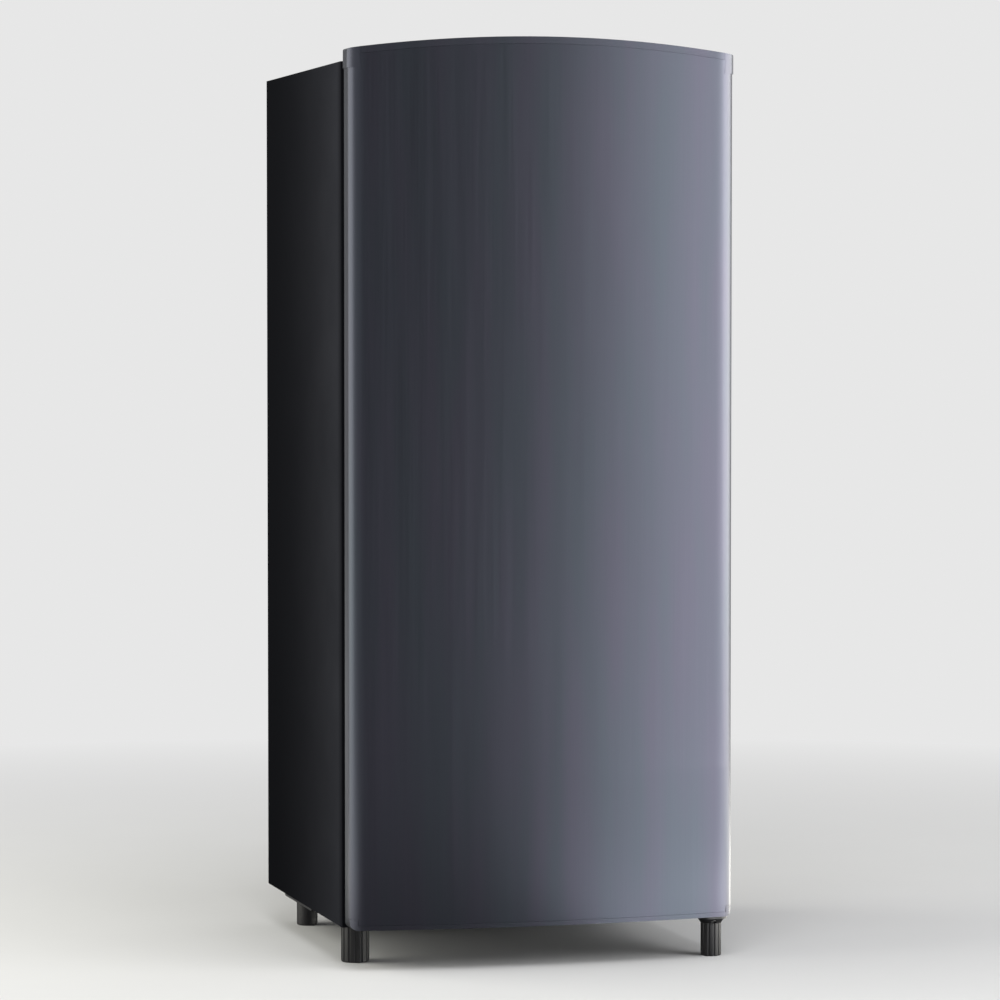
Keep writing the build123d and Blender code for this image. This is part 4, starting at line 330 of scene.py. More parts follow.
class Pattern(Sheet):
    """A Geometry Nodes tree that makes one piece from named sizes."""

    def __init__(self, name: str, sizes: dict[str, object]) -> None:
        """Start a tree with one input for each size.

        Args:
            name: The tree's name.
            sizes: Value of each named input.
        """
        tree = bpy.data.node_groups.new(name, "GeometryNodeTree")
        super().__init__(tree)
        self.sizes = sizes
        self.sockets = {}
        shape = tree.interface.new_socket("Geometry", in_out="INPUT", socket_type="NodeSocketGeometry")
        for label, value in {**sizes, "Finish": None}.items():
            kind = self.socket_kind(value)
            self.sockets[label] = tree.interface.new_socket(label, in_out="INPUT", socket_type=kind)
        tree.interface.new_socket("Geometry", in_out="OUTPUT", socket_type="NodeSocketGeometry")
        self.start = tree.nodes.new("NodeGroupInput")
        self.shape = self.start.outputs[shape.name]

    @staticmethod
    def socket_kind(value: object) -> str:
        """Interface socket type for a size's value.

        Args:
            value: The size, or nothing for the finish.

        Returns:
            The type's name.
        """
        if value is None:
            return "NodeSocketMaterial"
        if isinstance(value, int):
            return "NodeSocketInt"
        return "NodeSocketFloat" if isinstance(value, float) else "NodeSocketVector"

    def size(self, label: str) -> Signal:
        """One named input."""
        return Signal(self, self.start.outputs[label])

    def vector(self, x: object = 0.0, y: object = 0.0, z: object = 0.0) -> bpy.types.NodeSocket:
        """A vector from three numbers or signals."""
        return self.add("ShaderNodeCombineXYZ", {}, {0: x, 1: y, 2: z}).outputs[0]

    def where(self) -> tuple[Signal, Signal, Signal]:
        """The three coordinates of each point.

        Returns:
            One signal for each axis.
        """
        position = self.add("GeometryNodeInputPosition").outputs[0]
        parts = self.add("ShaderNodeSeparateXYZ", {}, {0: position})
        return tuple(Signal(self, output) for output in parts.outputs)

    def link(self, kind: str, shape: object, settings: dict | None = None,
             sockets: dict | None = None) -> object:
        """Pass a shape through one more node.

        Args:
            kind: The node's type.
            shape: Socket of the shape that goes into the first input.
            settings: Properties of the node.
            sockets: Further inputs of the node.

        Returns:
            The first output socket.
        """
        return self.add(kind, settings, {0: shape, **(sockets or {})}).outputs[0]

    def arc(self, centre: tuple, radius: object, start: object, sweep: object, steps: object) -> object:
        """A level arc.

        Args:
            centre: Its centre's x and y.
            radius: Its radius.
            start: Angle of its first end, in radians.
            sweep: Angle that it covers.
            steps: Points on it.

        Returns:
            Socket of the curve.
        """
        sizes = {"Resolution": steps, "Radius": radius, "Start Angle": start, "Sweep Angle": sweep}
        curve = self.add("GeometryNodeCurveArc", {"mode": "RADIUS"}, sizes).outputs["Curve"]
        return self.link("GeometryNodeTransform", curve, {}, {"Translation": self.vector(*centre)})

    def straight(self, start: tuple, end: tuple, steps: object) -> object:
        """A level line.

        Args:
            start: Its first end's x and y.
            end: Its last end's x and y.
            steps: Points on it.

        Returns:
            Socket of the curve.
        """
        ends = {"Start": self.vector(*start), "End": self.vector(*end)}
        curve = self.add("GeometryNodeCurvePrimitiveLine", {}, ends).outputs[0]
        return self.link("GeometryNodeResampleCurve", curve, {}, {"Count": steps})

    def gather(self, *shapes: object) -> object:
        """Several shapes as one.

        Args:
            shapes: Socket of each shape.

        Returns:
            Socket of the joined shape.
        """
        node = self.add("GeometryNodeJoinGeometry")
        for shape in shapes:
            self.feed(node.inputs[0], shape)
        return node.outputs[0]

    def ring(self, radius: object, around: object) -> object:
        """A circle, as the profile of a sweep.

        Args:
            radius: Its radius.
            around: Points on it.

        Returns:
            Socket of the curve.
        """
        sizes = {"Resolution": around, "Radius": radius}
        return self.add("GeometryNodeCurvePrimitiveCircle", {}, sizes).outputs[0]

    def bake(self, name: str, result: object, finish: bpy.types.Material,
             base: bpy.types.Mesh | None = None) -> bpy.types.Object:
        """Run the tree and keep its result as a plain mesh.

        Args:
            name: Name of the new object.
            result: Socket of the finished shape.
            finish: Material of the piece.
            base: Mesh that the tree starts from, if any.

        Returns:
            The object at the origin, with no modifier left.
        """
        whole = self.link("GeometryNodeRealizeInstances", result)
        dressed = self.link("GeometryNodeSetMaterial", whole, {}, {"Material": self.start.outputs["Finish"]})
        end = self.tree.nodes.new("NodeGroupOutput")
        self.tree.links.new(dressed, end.inputs[0])
        holder = link_object(name, base or bpy.data.meshes.new(name + "_base"))
        modifier = holder.modifiers.new("Pattern", "NODES")
        modifier.node_group = self.tree
        for label, value in {**self.sizes, "Finish": finish}.items():
            modifier[self.sockets[label].identifier] = value
        graph = bpy.context.evaluated_depsgraph_get()
        made = bpy.data.meshes.new_from_object(holder.evaluated_get(graph))
        holder.modifiers.remove(modifier)
        holder.data = made
        made.name = name
        return holder


# Mesh helpers


def link_object(name: str, data: object) -> bpy.types.Object:
    """Put a new object at the origin of the scene.

    Args:
        name: Its name.
        data: Its mesh, lamp or camera.

    Returns:
        The object.
    """
    made = bpy.data.objects.new(name, data)
    bpy.context.scene.collection.objects.link(made)
    return made


def corners_of(half: float, high: float) -> list[Place]:
    """Corners of a level rectangle from half its width and half its height."""
    return [(-half, -high, 0.0), (half, -high, 0.0), (half, high, 0.0), (-half, high, 0.0)]


def facing(place: Place, aim: Place) -> Quaternion:
    """Turn of a lamp or a board that looks from its place at a point."""
    return (Vector(aim) - Vector(place)).to_track_quat("-Z", "Y")


def smooth(piece: bpy.types.Object, degrees: float = 35.0) -> None:
    """Shade a piece smoothly, with sharp edges above an angle."""
    piece.data.shade_smooth()
    piece.data.set_sharp_from_angle(angle=math.radians(degrees))


def bow_radius(half: object, rise: object) -> object:
    """Radius of an arc from half its chord and its rise."""
    return (half * half + rise * rise) / (rise * 2.0)


def turn_outward(piece: bpy.types.Object) -> None:
    """Turn an open shell's faces away from its middle.

    Args:
        piece: The shell's object.
    """
    mesh = bmesh.new()
    mesh.from_mesh(piece.data)
    bmesh.ops.recalc_face_normals(mesh, faces=mesh.faces)
    middle = sum((face.calc_center_median() for face in mesh.faces), Vector()) / len(mesh.faces)
    faces = [(face.calc_center_median() - middle, face.normal, face.calc_area()) for face in mesh.faces]
    if sum(away.dot(normal) * area for away, normal, area in faces) < 0:
        bmesh.ops.reverse_faces(mesh, faces=mesh.faces)
    mesh.to_mesh(piece.data)
    mesh.free()


def settle(piece: bpy.types.Object, kind: str, **settings: object) -> None:
    """Add one modifier to a piece and bake it into the mesh.

    Args:
        piece: The piece.
        kind: The modifier's type.
        settings: Its properties.
    """
    modifier = piece.modifiers.new(kind.title(), kind)
    for key, value in settings.items():
        setattr(modifier, key, value)
    graph = bpy.context.evaluated_depsgraph_get()
    made = bpy.data.meshes.new_from_object(piece.evaluated_get(graph))
    piece.modifiers.remove(modifier)
    piece.data = made


def enlist(piece: bpy.types.Object, body: str, slot: str, *nodes: str) -> None:
    """Hand a finished piece to its body.

    Args:
        piece: The piece.
        body: The body it moves with.
        slot: The record's material slot that it takes its finish from; not used.
        nodes: CAD nodes that it stands for.
    """
    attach(piece, body)
    if nodes:
        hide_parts(*nodes)
    LOG.info("%s on %s: %d faces", piece.name, body, len(piece.data.polygons))


# Finishes


@dataclass(frozen=True)
class Finish:
    """One finish; each kind works out the sockets of its Principled surface."""

    name: str
    colour: Colour

    def shaded(self, share: float, tone: Colour = WHITE) -> Colour:
        """The colour at a share of its strength and turned by a tone."""
        return tuple(part * share * turn for part, turn in zip(self.colour, tone))

    def sockets(self, shader: Shader) -> dict:
        """Work out the surface.

        Args:
            shader: The material under construction.

        Returns:
            Value or link of each socket that isn't left at its default.
        """
        raise NotImplementedError

    def material(self) -> bpy.types.Material:
        """Build the finish as a material."""
        shader = Shader(self.name)
        return shader.surface(self.sockets(shader))


@dataclass(frozen=True)
class GrainedLacquer(Finish):
    """Titanium silver lacquer over steel with a faint upright grain."""

    metallic: float
    roughness: float
    grain: float
    shoulder_start: float = 229.0 * MM
    shoulder_reach: float = 17.0 * MM
    shoulder_tilt: float = 0.27
    corner_reach: float = 13.5 * MM
    cool: Colour = (0.95, 1.02, 1.01)
    warm: Colour = (1.05, 0.99, 1.05)
    fine_cells: Cells = (1900.0, 1900.0, 5.0)
    broad_cells: Cells = (90.0, 90.0, 1.6)
    tone_cells: Cells = (26.0, 26.0, 2.4)
    fine_share: float = 0.7
    rough_swing: float = 0.03
    relief: float = 0.012 * MM

    def shoulder(self, shader: Shader) -> bpy.types.NodeSocket:
        """Slow turn of the front beside both upright edges, which ends as the corner's own turn takes over.

        Args:
            shader: The material it belongs to.

        Returns:
            The socket of its normal.
        """
        across = abs(shader.axes()[0])
        reach, start, corner = self.shoulder_reach, self.shoulder_start, self.corner_reach
        past = shader.spread(across, 0.0, reach, start, start + reach)
        around = shader.spread(across, 0.0, corner, start + reach, start + reach + corner)
        fall = past ** 3.0 / (3.0 * reach * reach) + around - around * around / (2.0 * corner)
        return shader.bump(fall * -self.shoulder_tilt, 1.0)

    def sockets(self, shader: Shader) -> dict:
        """Work out the lacquer.

        Args:
            shader: The material under construction.

        Returns:
            Value or link of each socket.
        """
        fine = shader.noise(self.fine_cells, 3.0, 0.6)
        streaks = fine * self.fine_share + shader.noise(self.broad_cells) * (1.0 - self.fine_share)
        turned = shader.spread(shader.noise(self.tone_cells), 0.0, 1.0, 0.35, 0.65)
        dark, light = (shader.tint(turned, self.shaded(share, self.cool), self.shaded(share, self.warm))
                       for share in (1.0 - self.grain, 1.0 + self.grain))
        return {
            "Base Color": shader.tint(shader.spread(streaks, 0.0, 1.0), dark, light),
            "Metallic": self.metallic,
            "Roughness": shader.around(streaks, self.roughness, self.rough_swing),
            "Normal": shader.bump(fine, self.relief, self.shoulder(shader)),
        }


@dataclass(frozen=True)
class CoatedSheet(Finish):
    """Painted sheet with a baked coat's dimples, and painted shade that darkens its colour toward the back
    and beside the front fold.
    """

    roughness: float
    specular: float
    dimple: float = 0.03 * MM
    # Painted shade: share of the colour left at the back, and beside the front fold.
    rear_share: float = 1.0
    fold_shade_share: float = 1.0
    rear: float = 246.0 * MM
    front: float = -202.0 * MM
    fold: float = 20.0 * MM
    rear_shade_power: float = 2.1
    light_share: float = 1.18
    light_lift: float = 0.002
    dimple_cells: float = 900.0
    cloud_cells: float = 7.0
    rough_swing: float = 0.06

    def sockets(self, shader: Shader) -> dict:
        """Work out the coat.

        Args:
            shader: The material under construction.

        Returns:
            Value or link of each socket.
        """
        dimples = shader.noise(self.dimple_cells)
        cloud = shader.noise(self.cloud_cells, 4.0, 0.6)
        lighter = tuple(part + self.light_lift for part in self.shaded(self.light_share))
        coat = shader.tint(shader.spread(cloud, 0.0, 1.0), self.colour, lighter)
        depth = shader.axes()[1]
        # Painted shade: the colour darkens from the front toward the back, standing in for the light falling
        # off there.
        ahead = shader.spread(depth, 1.0, 0.0, self.front, self.rear) ** self.rear_shade_power
        # Painted shade: the colour darkens beside the front fold, standing in for the darker reflection of
        # its rounded edge.
        flat = shader.spread(depth, 0.0, 1.0, self.front, self.front + self.fold)
        coat = shader.tint(ahead, self.shaded(self.rear_share), coat)
        return {
            "Base Color": shader.tint(flat, self.shaded(self.fold_shade_share), coat),
            "Roughness": shader.around(dimples, self.roughness, self.rough_swing),
            "Specular IOR Level": self.specular,
            "Normal": shader.bump(dimples, self.dimple),
        }


@dataclass(frozen=True)
class Moulded(Finish):
    """Moulded plastic with an eroded mould's grain."""

    roughness: float
    specular: float
    grain: float
    dark_share: float = 0.94
    grain_cells: float = 1400.0
    cloud_cells: float = 12.0
    rough_swing: float = 0.06

    def sockets(self, shader: Shader) -> dict:
        """Work out the plastic.

        Args:
            shader: The material under construction.

        Returns:
            Value or link of each socket.
        """
        grain = shader.noise(self.grain_cells, 2.0, 0.55)
        cloud = shader.spread(shader.noise(self.cloud_cells, 3.0), 0.0, 1.0)
        return {
            "Base Color": shader.tint(cloud, self.shaded(self.dark_share), self.colour),
            "Roughness": shader.around(grain, self.roughness, self.rough_swing),
            "Specular IOR Level": self.specular,
            "Normal": shader.bump(grain, self.grain),
        }


@dataclass(frozen=True)
class ZincCoat(Finish):
    """Galvanised sheet with its frozen spangle."""

    metallic: float = 0.9
    dark_share: float = 0.72
    spangle_cells: float = 95.0
    streak_cells: Cells = (40.0, 40.0, 900.0)
    streak_share: float = 0.25
    smoothest: float = 0.3
    roughest: float = 0.48
    relief: float = 0.01 * MM

    def sockets(self, shader: Shader) -> dict:
        """Work out the zinc.

        Args:
            shader: The material under construction.

        Returns:
            Value or link of each socket.
        """
        tones = shader.cells(self.spangle_cells)
        spangle = shader.signal("ShaderNodeSeparateColor", {}, {0: tones})
        streak = shader.noise(self.streak_cells)
        mixed = spangle * (1.0 - self.streak_share) + streak * self.streak_share
        return {
            "Base Color": shader.tint(mixed, self.shaded(self.dark_share), self.colour),
            "Metallic": self.metallic,
            "Roughness": shader.spread(spangle, self.smoothest, self.roughest, 0.0, 1.0),
            "Normal": shader.bump(streak, self.relief),
        }


@dataclass(frozen=True)
class DrawnMetal(Finish):
    """Drawn or turned bare metal with marks along and across it."""

    roughness: float
    tarnish: Colour
    stain_cells: float = 60.0
    mark_cells: float = 2500.0
    rough_swing: float = 0.07
    relief: float = 0.008 * MM

    def sockets(self, shader: Shader) -> dict:
        """Work out the metal.

        Args:
            shader: The material under construction.

        Returns:
            Value or link of each socket.
        """
        stain = shader.spread(shader.noise(self.stain_cells, 4.0, 0.6), 0.0, 1.0, 0.4, 0.75)
        marks = shader.noise(self.mark_cells, 1.0)
        return {
            "Base Color": shader.tint(stain, self.colour, self.tarnish),
            "Metallic": 1.0,
            "Roughness": shader.around(marks, self.roughness, self.rough_swing),
            "Normal": shader.bump(marks, self.relief),
        }


@dataclass(frozen=True)
class Clear(Finish):
    """Clear or frosted resin or glass."""

    roughness: float
    index: float
    transmission: float
    dark_share: float = 0.93
    haze_cells: float = 30.0
    haze_share: float = 1.6
    haze_lift: float = 0.01

    def sockets(self, shader: Shader) -> dict:
        """Work out the clear material.

        Args:
            shader: The material under construction.

        Returns:
            Value or link of each socket.
        """
        haze = shader.noise(self.haze_cells, 3.0)
        hazy = self.roughness * self.haze_share + self.haze_lift
        level = shader.spread(haze, 0.0, 1.0)
        return {
            "Base Color": shader.tint(level, self.shaded(self.dark_share), self.colour),
            "Roughness": shader.spread(haze, self.roughness, hazy),
            "IOR": self.index,
            "Transmission Weight": self.transmission,
        }


@dataclass(frozen=True)
class Glowing(Finish):
    """Frosted bulb glass that shines a little."""

    strength: float
    dark_share: float = 0.9
    frost_cells: float = 700.0
    smoothest: float = 0.35
    roughest: float = 0.5

    def sockets(self, shader: Shader) -> dict:
        """Work out the frosted glass.

        Args:
            shader: The material under construction.

        Returns:
            Value or link of each socket.
        """
        frost = shader.noise(self.frost_cells)
        glass = shader.tint(frost, self.shaded(self.dark_share), self.colour)
        return {
            "Base Color": glass,
            "Emission Color": glass,
            "Emission Strength": self.strength,
            "Roughness": shader.spread(frost, self.smoothest, self.roughest),
        }


@dataclass(frozen=True)
class Cellular(Finish):
    """Rigid foam with its open skin."""

    dark_share: float = 0.85
    pore_cells: float = 700.0
    cloud_cells: float = 20.0
    smoothest: float = 0.85
    roughest: float = 0.95
    relief: float = 0.3 * MM

    def sockets(self, shader: Shader) -> dict:
        """Work out the foam.

        Args:
            shader: The material under construction.

        Returns:
            Value or link of each socket.
        """
        pores = Signal(shader, shader.cells(self.pore_cells, "Distance"))
        cloud = shader.noise(self.cloud_cells, 3.0, 0.6)
        level = shader.spread(cloud, 0.0, 1.0)
        return {
            "Base Color": shader.tint(level, self.shaded(self.dark_share), self.colour),
            "Roughness": shader.spread(cloud, self.smoothest, self.roughest),
            "Normal": shader.bump(pores, self.relief),
        }


class Slot(Enum):
    """The record's material slots, each with its finish."""

    # The cabinet's coat carries painted shade toward the back and beside the front fold.
    CABINET = ("cabinet_paint", CoatedSheet("graphite_coat", (0.0212, 0.0221, 0.0270), 0.5, 0.0,
                                            rear_share=0.26, fold_shade_share=0.45))
    DOOR = ("door_finish", GrainedLacquer("titanium_lacquer", (0.0455, 0.0482, 0.0605), 0.95, 0.37, 0.07))
    CAP = ("cap_plastic", GrainedLacquer("titanium_cap", (0.0465, 0.0490, 0.0612), 0.95, 0.39, 0.03))
    ZINC = ("galvanised_steel", ZincCoat("zinc_spangle", (0.55, 0.57, 0.59)))
    BRACKET = ("bracket_steel", CoatedSheet("black_bracket_coat", (0.022, 0.022, 0.024), 0.38, 0.4))
    BRIGHT = ("bright_steel", DrawnMetal("zinc_plating", (0.72, 0.73, 0.75), 0.27, (0.5, 0.51, 0.53)))
    FOAM = ("insulating_foam", Cellular("insulating_foam", (0.86, 0.74, 0.46)))
    WHITE = ("white_plastic", Moulded("white_liner", (0.80, 0.815, 0.82), 0.33, 0.45, 0.012 * MM))
    EVAPORATOR = ("evaporator_metal", DrawnMetal("rolled_aluminium", (0.78, 0.80, 0.82), 0.39,
                                                 (0.66, 0.69, 0.73)))
    SHELF = ("shelf_glass", Clear("shelf_glass", (0.90, 0.965, 0.945), 0.0, 1.5, 1.0))
    RESIN = ("clear_plastic", Clear("clear_resin", (0.90, 0.94, 0.97), 0.09, 1.45, 0.92))
    BULB = ("bulb_glass", Glowing("frosted_bulb", (1.0, 0.93, 0.80), 6.0))
    BLACK = ("black_plastic", Moulded("black_moulding", (0.020, 0.020, 0.022), 0.47, 0.4, 0.04 * MM))
    GREY = ("grey_plastic", Moulded("grey_moulding", (0.42, 0.43, 0.45), 0.41, 0.5, 0.02 * MM))
    GASKET = ("gasket_rubber", Moulded("gasket_vinyl", (0.42, 0.42, 0.43), 0.56, 0.3, 0.03 * MM))
    RUBBER = ("black_rubber", Moulded("black_rubber", (0.018, 0.018, 0.018), 0.71, 0.3, 0.05 * MM))
    ENAMEL = ("black_paint", CoatedSheet("black_enamel", (0.014, 0.014, 0.015), 0.25, 0.5, 0.06 * MM))
    IRON = ("motor_iron", DrawnMetal("cast_motor", (0.22, 0.21, 0.20), 0.61, (0.16, 0.12, 0.09)))
    COPPER = ("copper", DrawnMetal("drawn_copper", (0.80, 0.42, 0.27), 0.31, (0.45, 0.22, 0.14)))

    @property
    def label(self) -> str:
        """Name of the record's slot."""
        return self.value[0]

    def material(self) -> bpy.types.Material:
        """The slot's finish, built once.

        Returns:
            The material.
        """
        if self not in FINISHED:
            FINISHED[self] = self.value[1].material()
        return FINISHED[self]


FINISHED: dict[Slot, bpy.types.Material] = {}


# Studio


@dataclass(frozen=True)
class SoftBox:
    """One rectangular soft box."""

    name: str
    place: Place
    aim: Place
    size: tuple[float, float]
    power: float
    tone: Colour = WHITE
    gloss_only: bool = False

    def build(self) -> None:
        """Hang the box, unseen by the camera; one for gloss only lights nothing else."""
        data = bpy.data.lights.new(self.name, "AREA")
        data.shape, data.size, data.size_y = "RECTANGLE", self.size[0], self.size[1]
        data.energy, data.color = self.power, self.tone
        made = link_object(self.name, data)
        made.location = self.place
        made.rotation_euler = facing(self.place, self.aim).to_euler()
        made.visible_camera = False
        made.visible_diffuse = not self.gloss_only


@dataclass(frozen=True)
class Board:
    """One board that only gloss sees."""

    name: str
    place: Place
    aim: Place
    size: tuple[float, float]
    shade: float
    pale_share: float = 1.2
    weave_cells: float = 40.0

    def build(self) -> None:
        """Stand the board up and dress it in its cloth."""
        shader = Shader(self.name + "_cloth")
        weave = shader.noise(self.weave_cells)
        grey = shader.tint(weave, (self.shade,) * 3, (self.shade * self.pale_share,) * 3)
        cloth = shader.add("ShaderNodeBsdfDiffuse", {}, {"Color": grey})
        shader.add("ShaderNodeOutputMaterial", {}, {"Surface": cloth.outputs[0]})
        turn = facing(self.place, self.aim).to_matrix()
        flat = corners_of(self.size[0] / 2, self.size[1] / 2)
        corners = [Vector(self.place) + turn @ Vector(corner) for corner in flat]
        mesh = bpy.data.meshes.new(self.name)
        mesh.from_pydata(corners, [], [(0, 1, 2, 3)])
        mesh.materials.append(shader.material)
        made = link_object(self.name, mesh)
        made.visible_camera = made.visible_diffuse = made.visible_shadow = False


@dataclass
class Studio:
    """Floor, light and camera around the refrigerator."""

    lens: float = 148.08
    sensor: float = 36.0
    camera_place: Place = (-1.4863, -5.3747, 0.8290)
    yaw: float = 15.552
    dip: float = 2.364
    floor_radius: float = 60.0
    floor_fade: tuple[float, float] = (0.6, 2.8)
    floor_dark: Colour = (0.66, 0.662, 0.665)
    floor_light: Colour = (0.68, 0.682, 0.685)
    floor_gloss: Colour = (0.2, 0.2, 0.2)
    mottle_cells: float = 6.0
    pale: float = 0.80
    fill: float = 0.42
    boxes: tuple[SoftBox, ...] = (
        SoftBox("right_box", (2.25, -2.26, 1.1), (0.0, -0.25, 0.85), (2.3, 2.2), 80.0),
        SoftBox("right_low_box", (1.45, -1.68, 0.004), (1.45, -1.68, 1.0), (1.8, 1.55), 45.0, WHITE, True),
        SoftBox("right_near_box", (0.64, -0.62, 0.004), (0.64, -0.62, 1.0), (1.0, 0.56), 8.6, WHITE, True),
        SoftBox("right_side_box", (2.63, -0.58, 1.1), (0.25, -0.25, 0.8), (2.2, 2.2), 168.0, SIDE_TONE, True),
        SoftBox("right_side_low_box", (1.4, -0.05, 0.004), (1.4, -0.05, 1.0), (1.8, 1.6), 66.0,
                SIDE_TONE, True),
        SoftBox("left_box", (-2.3, 0.45, 1.1), (-0.25, -0.1, 0.7), (2.3, 2.6), 66.0, SIDE_TONE),
        SoftBox("left_low_box", (-1.35, 0.0, 0.004), (-1.35, 0.0, 1.0), (1.6, 1.4), 20.0, SIDE_TONE, True),
        SoftBox("top_box", (-0.4, -2.6, 4.0), (0.0, 0.0, 0.5), (2.6, 2.0), 90.0),
    )
    boards: tuple[Board, ...] = (
        Board("front_board", (-0.4, -7.5, 1.5), (0.0, -0.25, 1.5), (7.0, 4.4), 0.02),
        Board("rear_board", (-2.2, 4.5, 1.5), (-0.25, 0.0, 1.5), (5.0, 4.4), 0.4),
    )

    def camera(self) -> None:
        """Stand the camera where the photograph was taken from."""
        data = bpy.data.cameras.new("camera")
        data.lens, data.sensor_width = self.lens, self.sensor
        data.clip_start, data.clip_end = 0.05, 4 * self.floor_radius
        made = link_object("camera", data)
        made.location = self.camera_place
        made.rotation_euler = (math.radians(90 - self.dip), 0.0, math.radians(-self.yaw))
        bpy.context.scene.camera = made

    def world(self) -> None:
        """Pale surroundings for eye and gloss, and an even fill for everything else."""
        world = bpy.data.worlds.new("surroundings")
        world.use_nodes = True
        bpy.context.scene.world = world
        sheet = Sheet(world.node_tree)
        rays = sheet.add("ShaderNodeLightPath")
        shown = Signal(sheet, rays.outputs["Is Camera Ray"])
        shown = shown + Signal(sheet, rays.outputs["Is Glossy Ray"])
        shown = shown + Signal(sheet, rays.outputs["Is Transmission Ray"])
        level = (shown > 0.5) * (self.pale - self.fill) + self.fill
        back = sheet.add("ShaderNodeBackground", {}, {"Color": WHITE, "Strength": level})
        sheet.add("ShaderNodeOutputWorld", {}, {"Surface": back.outputs[0]})

    def floor(self) -> None:
        """Wide pale floor that keeps the shadow and fades into the surroundings."""
        shader = Shader("pale_floor")
        x, y, _ = shader.axes()
        far = shader.spread((x * x + y * y).root(), 0.0, 1.0, *self.floor_fade)
        mottle = shader.noise(self.mottle_cells, 3.0)
        seen = shader.signal("ShaderNodeLightPath", {}, {}, "Is Camera Ray")
        cloth = shader.tint(mottle, self.floor_dark, self.floor_light)
        shown = shader.tint(seen, self.floor_gloss, cloth)
        near = shader.add("ShaderNodeBsdfDiffuse", {}, {"Color": shown})
        away = shader.add("ShaderNodeEmission", {}, {"Color": WHITE, "Strength": self.pale})
        mixed = shader.add("ShaderNodeMixShader", {}, {0: far, 1: near.outputs[0], 2: away.outputs[0]})
        shader.add("ShaderNodeOutputMaterial", {}, {"Surface": mixed.outputs[0]})
        mesh = bpy.data.meshes.new("floor")
        mesh.from_pydata(corners_of(self.floor_radius, self.floor_radius), [], [(0, 1, 2, 3)])
        mesh.materials.append(shader.material)
        link_object("floor", mesh)

    def build(self) -> None:
        """Set the whole studio."""
        self.camera()
        self.world()
        self.floor()
        for piece in (*self.boxes, *self.boards):
            piece.build()
        bpy.context.scene.view_settings.view_transform = "Standard"


# Sub-assemblies


@dataclass
class Ruled:
    """A piece that follows a rule, whose measures are the named inputs of its Geometry Nodes tree."""

    def pattern(self, name: str) -> Pattern:
        """Start the tree with one input for each measure among the fields.

        Args:
            name: The tree's name.

        Returns:
            The tree.
        """
        sizes = {}
        for field in fields(self):
            value = getattr(self, field.name)
            if isinstance(value, (int, float)) or isinstance(value, tuple) and isinstance(value[0], float):
                sizes[field.name.replace("_", " ").title()] = value
        return Pattern(name, sizes)


@dataclass
class CarriedNodes:
    """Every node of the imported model, dressed with its slot's finish."""

    def build(self) -> None:
        """Give each CAD node its material."""
        slots = {slot.label: slot for slot in Slot}
        for row in frame["record"]["subparts"]:
            node = frame["nodes"][row["node"]]
            material = slots[row["material_slot"]].material()
            node.data.materials.clear()
            node.data.materials.append(material)
            LOG.info("%s keeps its CAD shape in %s", node.name, material.name)


